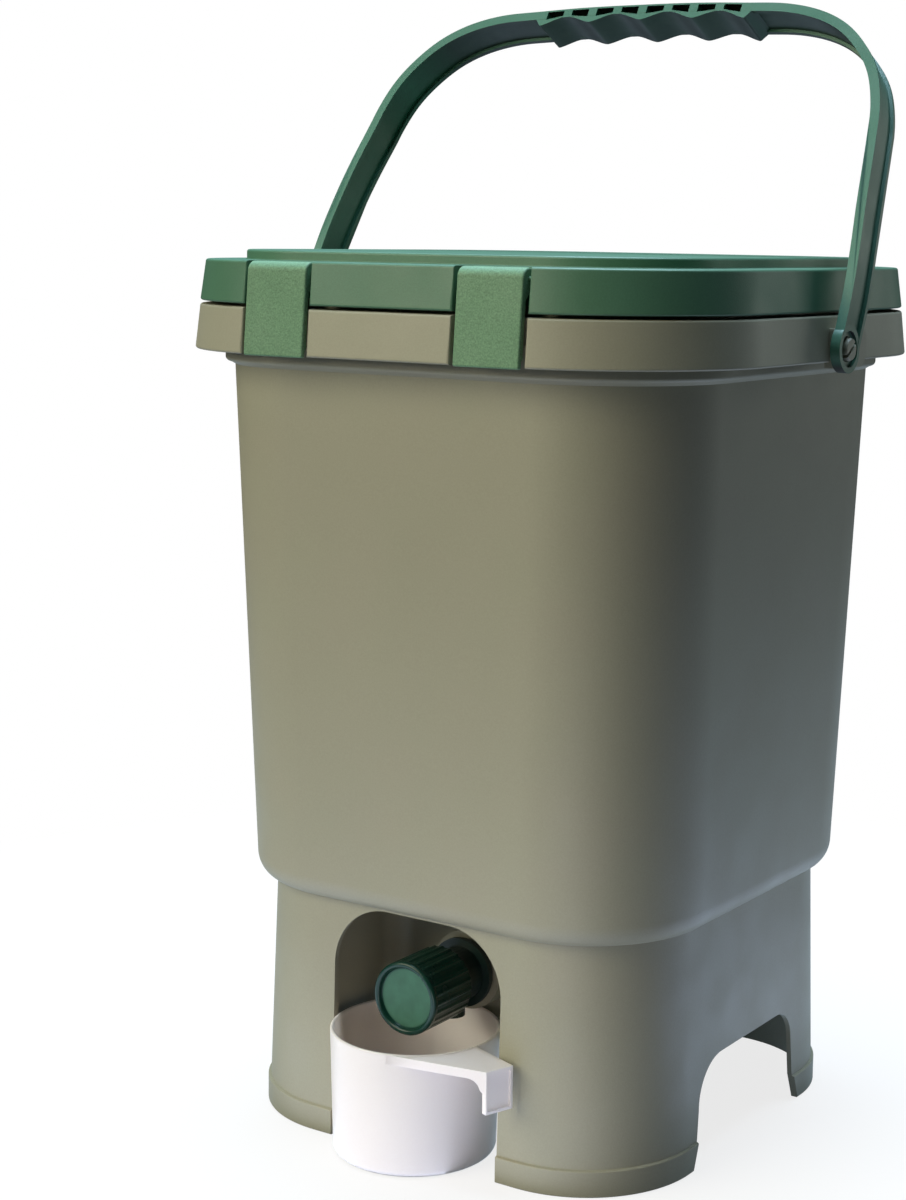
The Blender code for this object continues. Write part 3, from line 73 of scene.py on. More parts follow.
LATCH_X, LATCH_HALF, LATCH_GAP, LATCH_EDGE = 0.0560, 0.0165, 0.0019, 0.0010
LATCH_Y, LATCH_Z, LATCH_RADIUS = 0.1361, 0.3993, 0.0045
FACE_HIGH, FACE_LOW, LATCH_LOW, LATCH_THICK = 0.1406, 0.1436, 0.3625, 0.0026
LATCH_LEVELS = (0.3960, 0.3890, 0.3820, 0.3750, 0.3690)
TOE_RADIUS, TOE_BACK, HOOK_LOW, HOOK_HIGH, HOOK_DEPTH = 0.0010, 0.0011, 0.3655, 0.3680, 0.0004
PIN_RADIUS, PIN_END, PIN_GAP, CHEEK = 0.0009, 0.0197, 0.0003, 0.0036
NOTCH_BACK, BAND_NOTCH = 0.1312, 0.1386
CATCH_LOW, CATCH_HIGH, CATCH_PROUD = 0.3700, 0.3720, 0.0010

BAIL_TILT = math.radians(27.0)
BAIL_EYE_X, BAIL_RISE = 0.1500, 0.1733
BAIL_SHARES = (
    (1.0000, 0.0000), (1.0023, 0.1356), (0.9945, 0.2579), (0.9812, 0.3693), (0.9672, 0.4789),
    (0.9508, 0.5857), (0.9307, 0.6878), (0.8933, 0.7790), (0.8327, 0.8540), (0.7547, 0.9152),
    (0.6573, 0.9573), (0.5373, 0.9821), (0.3900, 0.9902), (0.2113, 0.9977), (0.0000, 1.0000),
)
BAIL_STEPS = 6
BAIL_THICK, BAIL_FLANGE, BAIL_WEB, FLANGE_SLOPE = 0.0046, 0.0026, 0.0016, 0.0003
WIDTH_EYE, WIDTH_GRIP = 0.0184, 0.0212
EYE_RADIUS, EYE_BORE = 0.0105, 0.0056
BAIL_BEND, BAIL_BEND_SHARE, BAIL_LEAN, BAIL_TURN = 0.0034, 0.64, 0.0014, 0.009
GRIP_HALF, GRIP_PITCH, GRIP_RAMP, GRIP_SAMPLES = 0.0626, 0.0292, 0.0045, 180
GRIP_DROP, GRIP_WAVE, GRIP_PEAK, GRIP_SHIFT = 0.0042, 0.0020, 0.45, 0.0018
GRIP_SOFT, GRIP_INSET = 0.012, 0.00005
POCKETS, POCKET_PITCH, POCKET_WIDTH, POCKET_HEIGHT = 8, 0.0144, 0.0096, 0.0042
POCKET_DEPTH, POCKET_TOP, POCKET_SKIN = 0.0085, 0.0009, 0.0009

KNOB_FACE, KNOB_BACK, KNOB_BAND = 0.1193, 0.0894, 0.1160
KNOB_RADIUS, KNOB_RIB, KNOB_RIBS = 0.0163, 0.0168, 24
KNOB_INNER, KNOB_WEB, KNOB_RIM, KNOB_ROUND, KNOB_RECESS = 0.0133, 0.1030, 0.0028, 0.0013, 0.0021
KNOB_RIB_POWER, KNOB_TAPER, KNOB_CHAMFER = 0.6, 0.985, 0.0003
# The recess's floor: how far in from the rim, how far up.
KNOB_FLOOR = ((0.0001, 0.0004), (0.0005, 0.0), (0.0012, 0.0), (0.0016, 0.0002))

CUP_X, CUP_Y, CUP_RIM, CUP_BASE, CUP_HEIGHT, CUP_WALL = -0.0072, -0.1001, 0.0390, 0.0375, 0.0576, 0.0016
CUP_FILLET, CUP_ANGLE, CUP_REACH = 0.0032, math.radians(-20.0), 0.0640
STRAP_HALF, STRAP_THICK, STRAP_RIB, STRAP_PROUD = 0.0072, 0.0016, 0.0012, 0.0012
STRAP_LOW, PLATE_UNDER, PLATE_SKIRT, PLATE_TURN = 0.0378, 0.0556, 0.0026, 0.0055
PLATE_DROP, SKIRT_OVERLAP, RIM_STEPS, SKIRT_STEPS = 0.0004, 0.0005, 48, 60

# Steps in each corner of a square plan and in a quarter turn, and how close points are merged.
CORNER, ARC, SMALL_ARC = 30, 10, 6
MERGE, CUT_MERGE = 0.000005, 0.00001


def obj_from(bm, name):
    bmesh.ops.remove_doubles(bm, verts=bm.verts, dist=MERGE)
    bmesh.ops.recalc_face_normals(bm, faces=bm.faces)
    mesh = bpy.data.meshes.new(name)
    bm.to_mesh(mesh)
    bm.free()
    obj = bpy.data.objects.new(name, mesh)
    bpy.context.scene.collection.objects.link(obj)
    return obj


def loft(name, loops):
    """A closed skin through loops of points, with a flat face at each end."""
    bm = bmesh.new()
    rows = [[bm.verts.new(p) for p in loop] for loop in loops]
    count = len(rows[0])
    for low, high in zip(rows, rows[1:]):
        for i in range(count):
            j = (i + 1) % count
            bm.faces.new((low[i], low[j], high[j], high[i]))
    bm.faces.new(list(reversed(rows[0])))
    bm.faces.new(rows[-1])
    return obj_from(bm, name)


def ring(half, radius, z):
    """A square with round corners, level at z."""
    points = []
    centre = half - radius
    for corner, (sx, sy) in enumerate(((1, 1), (-1, 1), (-1, -1), (1, -1))):
        for k in range(CORNER + 1):
            a = math.radians(90.0 * (corner + k / CORNER))
            points.append((sx * centre + radius * math.cos(a), sy * centre + radius * math.sin(a), z))
    return points


def fillet_rings(half, radius, z, size, start, end, steps=4):
    """Rings round an edge: size is its radius, start and end its angles in the (out, up) plane."""
    out = []
    for k in range(steps + 1):
        a = math.radians(start + (end - start) * k / steps)
        grow = size * (math.cos(a) - 1.0)
        out.append(ring(half + grow, radius + grow, z + size * math.sin(a)))
    return out


def circle(radius, z, steps):
    turn = 2.0 * math.pi / steps
    return [(radius * math.cos(turn * k), radius * math.sin(turn * k), z) for k in range(steps)]


def turned(name, profile, steps):
    return loft(name, [circle(r, z, steps) for r, z in profile])


def prism(name, outline, low, high, axis="Z"):
    def place(a, b, c):
        if axis == "X":
            return (c, a, b)
        if axis == "Y":
            return (a, c, b)
        return (a, b, c)

    return loft(name, [[place(a, b, c) for a, b in outline] for c in (low, high)])


def box(name, low, high):
    outline = ((low[0], low[1]), (high[0], low[1]), (high[0], high[1]), (low[0], high[1]))
    return prism(name, outline, low[2], high[2])


def arc(cx, cy, radius, start, end, steps=ARC):
    out = []
    for k in range(steps + 1):
        a = math.radians(start + (end - start) * k / steps)
        out.append((cx + radius * math.cos(a), cy + radius * math.sin(a)))
    return out


def disc(cx, cy, radius):
    return arc(cx, cy, radius, 0.0, 345.0, 23)


def quarter(steps):
    """The cosine and sine at each step of a quarter turn."""
    turns = [math.radians(90.0 * k / steps) for k in range(steps + 1)]
    return [(math.cos(a), math.sin(a)) for a in turns]


def mix(a, b, share):
    return a + (b - a) * share


def apply_modifiers(obj):
    graph = bpy.context.evaluated_depsgraph_get()
    graph.update()
    result = bpy.data.meshes.new_from_object(obj.evaluated_get(graph))
    obj.modifiers.clear()
    old = obj.data
    obj.data = result
    bpy.data.meshes.remove(old)


def boolean(target, tool, operation):
    mod = target.modifiers.new(operation.lower(), "BOOLEAN")
    mod.object = tool
    mod.operation = operation
    mod.solver = "EXACT"
    apply_modifiers(target)
    used = tool.data
    bpy.data.objects.remove(tool, do_unlink=True)
    bpy.data.meshes.remove(used)
    bm = bmesh.new()
    bm.from_mesh(target.data)
    bmesh.ops.remove_doubles(bm, verts=bm.verts, dist=CUT_MERGE)
    bmesh.ops.dissolve_limit(
        bm, angle_limit=math.radians(0.05), verts=bm.verts, edges=bm.edges, delimit={"SHARP"})
    bm.to_mesh(target.data)
    bm.free()


def cut(target, tool):
    boolean(target, tool, "DIFFERENCE")


def join(target, tool):
    boolean(target, tool, "UNION")


def transform(obj, matrix):
    obj.data.transform(matrix)
    obj.data.update()
    return obj


def along_y(obj, z=TAP_Z):
    return transform(obj, Matrix.Translation((0.0, 0.0, z)) @ Matrix.Rotation(math.radians(90.0), 4, "X"))


def finish(obj, bevel, angle=32.0):
    """Small rounded edges, then smooth shading that keeps the flats flat."""
    if bevel:
        mod = obj.modifiers.new("edges", "BEVEL")
        mod.width = bevel
        mod.segments = 2
        mod.limit_method = "ANGLE"
        mod.angle_limit = math.radians(angle)
        mod.harden_normals = False
        mod.miter_outer = "MITER_ARC"
        apply_modifiers(obj)
    for face in obj.data.polygons:
        face.use_smooth = True
    obj.data.set_sharp_from_angle(angle=math.radians(40.0))
    mod = obj.modifiers.new("normals", "WEIGHTED_NORMAL")
    mod.keep_sharp = True
    mod.weight = 60
    return obj


def dress(obj, body, nodes, material):
    obj.data.materials.clear()
    obj.data.materials.append(material)
    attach(obj, body)
    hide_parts(*nodes)


# ---------------------------------------------------------------- materials

def node(tree, kind, **inputs):
    made = tree.nodes.new(kind)
    for key, value in inputs.items():
        made.inputs[key.replace("_", " ")].default_value = value
    return made


def fill(tree, socket, value):
    """Puts a constant or another node's output into a socket."""
    if isinstance(value, bpy.types.NodeSocket):
        tree.links.new(value, socket)
    else:
        socket.default_value = value


def maths(tree, operation, *values, kind="ShaderNodeMath"):
    made = tree.nodes.new(kind)
    made.operation = operation
    for socket, value in zip(made.inputs, values):
        fill(tree, socket, value)
    return made


def object_coords(tree):
    return tree.nodes.new("ShaderNodeTexCoord").outputs["Object"]


def noise(tree, coords, scale, detail=2.0, rough=0.5):
    made = node(tree, "ShaderNodeTexNoise", Scale=scale, Detail=detail, Roughness=rough)
    tree.links.new(coords, made.inputs["Vector"])
    return made.outputs["Fac"]


def spread(tree, value, low, high, start=0.3, end=0.7):
    made = node(tree, "ShaderNodeMapRange", From_Min=start, From_Max=end, To_Min=low, To_Max=high)
    tree.links.new(value, made.inputs["Value"])
    return made.outputs["Result"]


def tint(tree, factor, one, two):
    """A mix of two colours, each a tuple or another node's output."""
    made = tree.nodes.new("ShaderNodeMix")
    made.data_type = "RGBA"
    fill(tree, made.inputs["Factor"], factor)
    for socket, value in ((made.inputs[6], one), (made.inputs[7], two)):
        fill(tree, socket, (*value, 1.0) if isinstance(value, tuple) else value)
    return made.outputs[2]


def bump(tree, height, strength, distance, below=None):
    made = node(tree, "ShaderNodeBump", Strength=strength, Distance=distance)
    tree.links.new(height, made.inputs["Height"])
    if below is not None:
        tree.links.new(below, made.inputs["Normal"])
    return made.outputs["Normal"]


def srgb(r, g, b):
    def lin(v):
        v /= 255.0
        return v / 12.92 if v <= 0.04045 else ((v + 0.055) / 1.055) ** 2.4
    return (lin(r), lin(g), lin(b))


def shade(colour, share):
    return tuple(min(1.0, v * share) for v in colour)


def plastic(name, colour, rough=0.5, grain=1500.0, grain_depth=0.25, mottle=0.06, speck=0.04,
            drift=None, level=0.5, wave=0.10):
    """Moulded plastic: slow colour drift, a fine speck, patchy gloss, a moulded grain and faint waves."""
    mat = bpy.data.materials.new(name)
    mat.use_nodes = True
    tree = mat.node_tree
    shader = tree.nodes["Principled BSDF"]
    shader.inputs["Specular IOR Level"].default_value = level
    shader.inputs["IOR"].default_value = 1.49
    coords = object_coords(tree)
    slow = spread(tree, noise(tree, coords, 9.0, 3.0), 0.0, 1.0)
    colours = tint(tree, slow, shade(colour, 1.0 - mottle), shade(colour, 1.0 + mottle))
    if drift:
        cloud = spread(tree, noise(tree, coords, 26.0, 4.0), 0.0, 0.6)
        colours = tint(tree, cloud, colours, drift)
    fine = spread(tree, noise(tree, coords, 1300.0, 1.0), 0.0, 1.0)
    dark = tint(tree, fine, shade(colour, 1.0 - 2.0 * speck), shade(colour, 1.0 + 2.0 * speck))
    tree.links.new(tint(tree, 0.5, colours, dark), shader.inputs["Base Color"])
    patch = noise(tree, coords, 45.0, 3.0)
    tree.links.new(spread(tree, patch, rough - 0.05, rough + 0.05), shader.inputs["Roughness"])
    waves = bump(tree, noise(tree, coords, 38.0, 1.0), wave, 0.0006)
    skin = bump(tree, noise(tree, coords, grain, 2.0, 0.6), grain_depth, 0.0002, waves)
    tree.links.new(skin, shader.inputs["Normal"])
    return mat


def face_mask(tree, coords):
    """1 on the knob's recessed face, 0 on its rim and side."""
    apart = tree.nodes.new("ShaderNodeSeparateXYZ")
    tree.links.new(coords, apart.inputs[0])
    flat = tree.nodes.new("ShaderNodeCombineXYZ")
    tree.links.new(apart.outputs["X"], flat.inputs["X"])
    tree.links.new(apart.outputs["Z"], flat.inputs["Z"])
    away = maths(tree, "DISTANCE", flat.outputs[0], (0.0, 0.0, TAP_Z), kind="ShaderNodeVectorMath")
    edge = KNOB_RIB - KNOB_RIM
    return spread(tree, away.outputs["Value"], 1.0, 0.0, edge - 0.0010, edge - 0.0003)


def knob_plastic():
    """The knob's plastic, dark and glossy outside with a paler matt face."""
    mat = plastic("green_knob", srgb(14, 50, 40), 0.24, grain_depth=0.2, mottle=0.04, level=0.34)
    tree = mat.node_tree
    shader = tree.nodes["Principled BSDF"]
    coords = object_coords(tree)
    mask = face_mask(tree, coords)
    outside = shader.inputs["Base Color"].links[0].from_socket
    cloud = spread(tree, noise(tree, coords, 160.0, 3.0), 0.0, 1.0)
    face = tint(tree, cloud, srgb(52, 92, 74), srgb(60, 104, 84))
    tree.links.new(tint(tree, mask, outside, face), shader.inputs["Base Color"])
    gloss = shader.inputs["Roughness"].links[0].from_socket
    rough = maths(tree, "MULTIPLY_ADD", mask, 0.26, gloss)
    tree.links.new(rough.outputs[0], shader.inputs["Roughness"])
    return mat


def bail_plastic():
    """The bail's plastic, with painted shade: darker and browner on the faces that point down."""
    mat = plastic("green_bail", srgb(56, 102, 82), 0.42, speck=0.05)
    tree = mat.node_tree
    shader = tree.nodes["Principled BSDF"]
    coords = tree.nodes.new("ShaderNodeTexCoord")
    apart = tree.nodes.new("ShaderNodeSeparateXYZ")
    tree.links.new(coords.outputs["Normal"], apart.inputs[0])
    # Painted shade: faces whose normal points down are coloured near-black, standing in for the shade under
    # the grip and arms.
    under = spread(tree, apart.outputs["Z"], 1.0, 0.0, -0.75, -0.45)
    clean = shader.inputs["Base Color"].links[0].from_socket
    cloud = spread(tree, noise(tree, coords.outputs["Object"], 200.0, 3.0), 0.0, 1.0)
    painted_underside_shade = tint(tree, cloud, srgb(12, 18, 14), srgb(30, 32, 26))
    tree.links.new(tint(tree, under, clean, painted_underside_shade), shader.inputs["Base Color"])
    return mat


def cup_plastic():
    """The cup's white plastic, which lets a little light through its thin wall."""
    mat = plastic(
        "white_cup", srgb(255, 244, 240), 0.36, grain_depth=0.12, mottle=0.01, speck=0.01, wave=0.05)
    shader = mat.node_tree.nodes["Principled BSDF"]
    shader.inputs["Subsurface Weight"].default_value = 0.5
    shader.inputs["Subsurface Radius"].default_value = (1.0, 1.0, 1.0)
    shader.inputs["Subsurface Scale"].default_value = 0.012
    return mat


MATERIALS = {
    "body": plastic("taupe", srgb(150, 148, 128), mottle=0.03, speck=0.03, drift=srgb(154, 147, 130)),
    "lid": plastic("green_lid", srgb(71, 111, 87), 0.46, speck=0.05, drift=srgb(78, 112, 84)),
    "latch": plastic("green_grained", srgb(97, 134, 102), 0.62, 560.0, 1.1, mottle=0.08, speck=0.20),
    "bail": bail_plastic(),
    "knob": knob_plastic(),
    "tap": plastic("green_tap", srgb(14, 36, 30), 0.42, mottle=0.04),
    "grid": plastic("green_grid", srgb(64, 110, 90), grain_depth=0.3, mottle=0.05, speck=0.05),
    "nut": plastic("black_nut", srgb(38, 38, 38), 0.48, 1200.0, 0.3, mottle=0.05, speck=0.05),
    "seal": plastic("soft_seal", srgb(76, 76, 76), 0.75, 900.0, 0.3, mottle=0.05, speck=0.06),
    "cup": cup_plastic(),
}


# ---------------------------------------------------------------- body

def skirt_half(z):
    return mix(SKIRT_LOW, SKIRT_HIGH, z / STEP_LOW)


def tub_half(z):
    return mix(TUB_LOW, TUB_HIGH, (z - STEP_HIGH) / (TUB_TOP - STEP_HIGH))


def make_body():
    thin = SKIRT_RADIUS - WALL
    loops = [
        ring(skirt_half(FLOOR_UNDER) - WALL, thin, FLOOR_UNDER),
        ring(SKIRT_LOW - WALL, thin, 0.0),
    ]
    loops += fillet_rings(FOOT_HALF, FOOT_RADIUS, EDGE, EDGE, -90.0, 0.0)
    loops += fillet_rings(FOOT_HALF, FOOT_RADIUS, FOOT_TOP - EDGE, EDGE, 0.0, 90.0)
    loops.append(ring(skirt_half(FOOT_TOP), SKIRT_RADIUS, FOOT_TOP + EDGE / 2.0))
    loops.append(ring(SKIRT_HIGH, SKIRT_RADIUS, STEP_LOW - EDGE))
    loops.append(ring(SKIRT_HIGH + EDGE / 4.0, SKIRT_RADIUS + EDGE / 4.0, STEP_LOW - EDGE / 4.0))
    for cosine, sine in quarter(2 * ARC)[1:]:
        loops.append(ring(
            mix(SKIRT_HIGH + EDGE, TUB_LOW, sine),
            mix(SKIRT_RADIUS + EDGE, TUB_RADIUS, sine),
            mix(STEP_LOW, STEP_HIGH, 1.0 - cosine)))
    neck_top = BAND_HIGH - BAND_ROOF
    inner = BAND_RADIUS - WALL
    loops.append(ring(TUB_HIGH, TUB_RADIUS, TUB_TOP))
    loops += fillet_rings(NECK_HALF, NECK_RADIUS, NECK_LOW + NECK_EDGE, NECK_EDGE, -90.0, 0.0, SMALL_ARC)
    loops += [
        ring(NECK_HALF, NECK_RADIUS, neck_top),
        ring(BAND_HIGH_HALF - WALL, inner, neck_top),
        ring(BAND_LOW_HALF - WALL, inner, BAND_LOW),
    ]
    loops += fillet_rings(BAND_LOW_HALF, BAND_RADIUS, BAND_LOW + BAND_EDGE, BAND_EDGE, -90.0, 0.0, SMALL_ARC)
    loops += fillet_rings(BAND_HIGH_HALF, BAND_RADIUS, BAND_HIGH - BAND_EDGE, BAND_EDGE, 0.0, 90.0, SMALL_ARC)
    loops.append(ring(UPSTAND_HALF, UPSTAND_RADIUS, BAND_HIGH))
    loops += fillet_rings(UPSTAND_HALF, UPSTAND_RADIUS, UPSTAND_TOP - EDGE, EDGE, 0.0, 90.0)
    loops += [
        ring(UPSTAND_HALF - WALL + EDGE, UPSTAND_RADIUS - WALL + EDGE, UPSTAND_TOP),
        ring(UPSTAND_HALF - WALL, UPSTAND_RADIUS - WALL, UPSTAND_TOP - EDGE),
        ring(TUB_HIGH - WALL, TUB_RADIUS - WALL, TUB_TOP),
    ]
    ledge = tub_half(LEDGE_TOP) - WALL
    well = skirt_half(FLOOR_TOP) - WALL
    loops += [
        ring(ledge, TUB_RADIUS - WALL, LEDGE_TOP),
        ring(ledge - LEDGE_REACH, thin, LEDGE_TOP),
        ring(well - EDGE, thin, FLOOR_TOP + FLOOR_FILLET),
    ]
    for cosine, sine in quarter(ARC)[1:]:
        shrink = FLOOR_FILLET * (1.0 - cosine)
        rise = FLOOR_FILLET * (1.0 - sine)
        loops.append(ring(well - EDGE - shrink, thin - shrink, FLOOR_TOP + rise))
    body = loft("bin_shell", loops)
    add_bay(body)
    boss = [(BOSS_RADIUS, BAY_BACK - WALL / 2.0), (BOSS_RADIUS, BOSS_FACE)]
    join(body, along_y(turned("boss", boss, 64)))
    bore = [(BOSS_BORE, BAY_BACK - OVER), (BOSS_BORE, BOSS_FACE + OVER)]
    cut(body, along_y(turned("bore", bore, 48)))
    cut_arches(body)
    for side in (1, -1):
        add_ear(body, side)
    add_catches(body)
    finish(body, 0.0004)
    return body


def bay_outline(half, front, back, corner):
    points = [(half, -front), (half, -back - corner)]
    points += arc(half - corner, -back - corner, corner, 0.0, 90.0)[1:]
    points += arc(-half + corner, -back - corner, corner, 90.0, 180.0)
    points.append((-half, -front))
    return list(reversed(points))


def add_bay(body):
    shell = bay_outline(BAY_HALF + WALL, BAY_FRONT + WALL / 2.0, BAY_BACK - WALL, BAY_CORNER + WALL)
    join(body, prism("bay_shell", shell, BAY_LOW, BAY_ROOF + WALL))
    hollow = bay_outline(BAY_HALF, BAY_FRONT, BAY_BACK, BAY_CORNER)
    cut(body, prism("bay_hollow", hollow, BAY_LOW - OVER, BAY_ROOF))


def cut_arches(body):
    rise = ARCH_TOP - ARCH_RADIUS
    across = ARCH_HALF - ARCH_RADIUS
    front = [(-ARCH_HALF, -OVER), (ARCH_HALF, -OVER)]
    front += arc(across, rise, ARCH_RADIUS, 0.0, 90.0, 3 * ARC)
    front += arc(-across, rise, ARCH_RADIUS, 90.0, 180.0, 3 * ARC)
    reach = FOOT_HALF + OVER
    cut(body, prism("front_arch", front, -reach, -BAY_FRONT + WALL, axis="Y"))
    rise = SIDE_TOP - SIDE_RADIUS
    across = SIDE_HIGH - SIDE_RADIUS
    side = [(-SIDE_LOW, SIDE_SPLAY), (-SIDE_FOOT, 0.0), (-SIDE_FOOT, -OVER),
            (SIDE_FOOT, -OVER), (SIDE_FOOT, 0.0), (SIDE_LOW, SIDE_SPLAY)]
    side += arc(across, rise, SIDE_RADIUS, 0.0, 90.0, 2 * ARC)
    side += arc(SIDE_FRONT_RADIUS - SIDE_HIGH, SIDE_TOP - SIDE_FRONT_RADIUS,
                SIDE_FRONT_RADIUS, 90.0, 180.0, 2 * ARC)
    inside = SKIRT_HIGH - WALL - OVER
    for low_x, high_x in ((inside, reach), (-reach, -inside)):
        cut(body, prism("side_arch", side, low_x, high_x, axis="X"))


def add_ear(body, side):
    low = PIVOT_Z - EAR_RADIUS
    outline = [(EAR_NEAR * math.cos(math.radians(a)), PIVOT_Z + EAR_RADIUS * math.sin(math.radians(a)))
               for a in range(90, 271, 6)]
    outline += arc(EAR_BACK - EAR_CORNER, low + EAR_CORNER, EAR_CORNER, -90.0, 0.0)
    outline += arc(EAR_BACK - EAR_CORNER, PIVOT_Z + EAR_RADIUS - EAR_CORNER, EAR_CORNER, 0.0, 90.0)
    outer = BAND_LOW_HALF + EAR_REACH
    ends = sorted((side * (BAND_HIGH_HALF - WALL / 2.0), side * outer))
    join(body, prism("ear", outline, ends[0], ends[1], axis="X"))
    stud = turned("stud", (
        (STUD_RADIUS, -2.0 * EDGE),
        (STUD_RADIUS, STUD_LENGTH - 2.0 * EDGE),
        (STUD_RADIUS - EDGE, STUD_LENGTH),
    ), 48)
    slit = box(
        "slit",
        (-STUD_SLIT / 2.0, -STUD_RADIUS - EDGE, EDGE),
        (STUD_SLIT / 2.0, STUD_RADIUS + EDGE, STUD_LENGTH + EDGE))
    transform(slit, Matrix.Rotation(math.radians(35.0), 4, "Z"))
    cut(stud, slit)
    turn = Matrix.Rotation(math.radians(90.0 * side), 4, "Y")
    transform(stud, Matrix.Translation((side * outer, 0.0, PIVOT_Z)) @ turn)
    join(body, stud)


def mouth(name, across, face, near, low, high):
    """The cut for a latch, with round edges where it meets a skirt; low and high are (half, radius, z)."""
    half = LATCH_HALF + LATCH_GAP
    loops = []
    for plan, radius, z in (low, high):
        sides = []
        for side in (1, -1):
            edge = across + side * (half + LATCH_EDGE)
            past = max(0.0, abs(edge) - plan + radius)
            skin = plan - radius + math.sqrt(radius ** 2 - past ** 2)
            turns = [math.radians(180.0 - 85.0 * k / SMALL_ARC) for k in range(SMALL_ARC + 1)]
            curve = [(edge + side * LATCH_EDGE * math.cos(t), skin + LATCH_EDGE * (math.sin(t) - 1.0))
                     for t in turns]
            curve.append((curve[-1][0], plan + OVER))
            sides.append([(across + side * half, near)] + curve)
        loops.append([(x, face * y, z) for x, y in sides[0] + sides[1][::-1]])
    return loft(name, loops)


def add_catches(body):
    half = LATCH_HALF + LATCH_GAP
    slope = (BAND_HIGH_HALF - BAND_LOW_HALF) / (BAND_HIGH - BAND_LOW)
    for face in (1, -1):
        for across in (LATCH_X, -LATCH_X):
            def span(name, extra, near, far, low, high):
                ends = sorted((face * near, face * far))
                start = (across - half - extra, ends[0], low)
                return box(name, start, (across + half + extra, ends[1], high))

            join(body, span("backing", WALL, BAND_NOTCH - WALL, BAND_SKIN - EDGE,
                            BAND_LOW + EDGE, BAND_HIGH - BAND_ROOF / 2.0))
            cut(body, mouth("recess", across, face, BAND_NOTCH,
                            (BAND_LOW_HALF - slope * OVER, BAND_RADIUS, BAND_LOW - OVER),
                            (BAND_HIGH_HALF + slope * EDGE, BAND_RADIUS, BAND_HIGH + EDGE)))
            join(body, span("catch", WALL / 2.0, BAND_NOTCH - WALL / 2.0,
                            BAND_NOTCH + CATCH_PROUD, CATCH_LOW, CATCH_HIGH))


# ---------------------------------------------------------------- lid and latches

def make_lid():
    inner = LID_RADIUS - LID_WALL
    roof = LID_DECK - LID_WALL
    out = GROOVE_OUTER - LID_LOW_HALF + LID_RADIUS
    near = GROOVE_INNER - LID_LOW_HALF + LID_RADIUS
    under = PLATEAU_HALF - LID_WALL
    loops = list(reversed(fillet_rings(
        PLATEAU_HALF, PLATEAU_RADIUS, PLATEAU_TOP - LID_EDGE, LID_EDGE, 0.0, 90.0, SMALL_ARC)))
    for cosine, sine in quarter(4):
        grow = EDGE * (1.0 - cosine)
        loops.append(ring(PLATEAU_HALF + grow, PLATEAU_RADIUS + grow, LID_DECK + EDGE * (1.0 - sine)))
    loops += list(reversed(fillet_rings(
        LID_HIGH_HALF, LID_RADIUS, LID_DECK - LID_EDGE, LID_EDGE, 0.0, 90.0, SMALL_ARC)))
    loops += list(reversed(fillet_rings(
        LID_LOW_HALF, LID_RADIUS, LID_LOW + LATCH_EDGE, LATCH_EDGE, -90.0, 0.0, SMALL_ARC)))
    loops += [
        ring(LID_LOW_HALF - LID_WALL, inner, LID_LOW),
        ring(LID_HIGH_HALF - LID_WALL, inner, roof),
        ring(GROOVE_OUTER + RIB_WIDTH, out + RIB_WIDTH, roof),
        ring(GROOVE_OUTER + RIB_WIDTH, out + RIB_WIDTH, RIB_LOW),
        ring(GROOVE_OUTER, out, RIB_LOW),
        ring(GROOVE_OUTER, out, roof),
        ring(GROOVE_INNER, near, roof),
        ring(GROOVE_INNER - PLUG_TAPER, near - PLUG_TAPER, PLUG_LOW),
        ring(GROOVE_INNER - PLUG_TAPER - RIB_WIDTH, near - PLUG_TAPER - RIB_WIDTH, PLUG_LOW),
        ring(GROOVE_INNER - RIB_WIDTH, near - RIB_WIDTH, roof),
        ring(under, PLATEAU_RADIUS - LID_WALL, roof),
        ring(under, PLATEAU_RADIUS - LID_WALL, PLATEAU_TOP - LID_WALL),
    ]
    lid = loft("lid_cover", loops)
    half = LATCH_HALF + LATCH_GAP
    slope = (LID_HIGH_HALF - LID_LOW_HALF) / (LID_DECK - LID_LOW)
    for face in (1, -1):
        for across in (LATCH_X, -LATCH_X):
            cheek = sorted((face * (NOTCH_BACK - EDGE), face * (LID_SKIN - LID_WALL / 2.0)))
            outer = half + CHEEK
            join(lid, box("cheeks", (across - outer, cheek[0], LATCH_Z - CHEEK),
                          (across + outer, cheek[1], LID_DECK - LID_WALL / 2.0)))
            cut(lid, mouth("notch", across, face, NOTCH_BACK,
                           (LID_LOW_HALF - slope * OVER, LID_RADIUS, LID_LOW - OVER),
                           (LID_HIGH_HALF + slope * OVER, LID_RADIUS, LID_DECK + OVER)))
            hole = disc(face * LATCH_Y, LATCH_Z, PIN_RADIUS + PIN_GAP)
            reach = PIN_END + LATCH_EDGE
            cut(lid, prism("pin_hole", hole, across - reach, across + reach, axis="X"))
    finish(lid, 0.0003)
    return lid


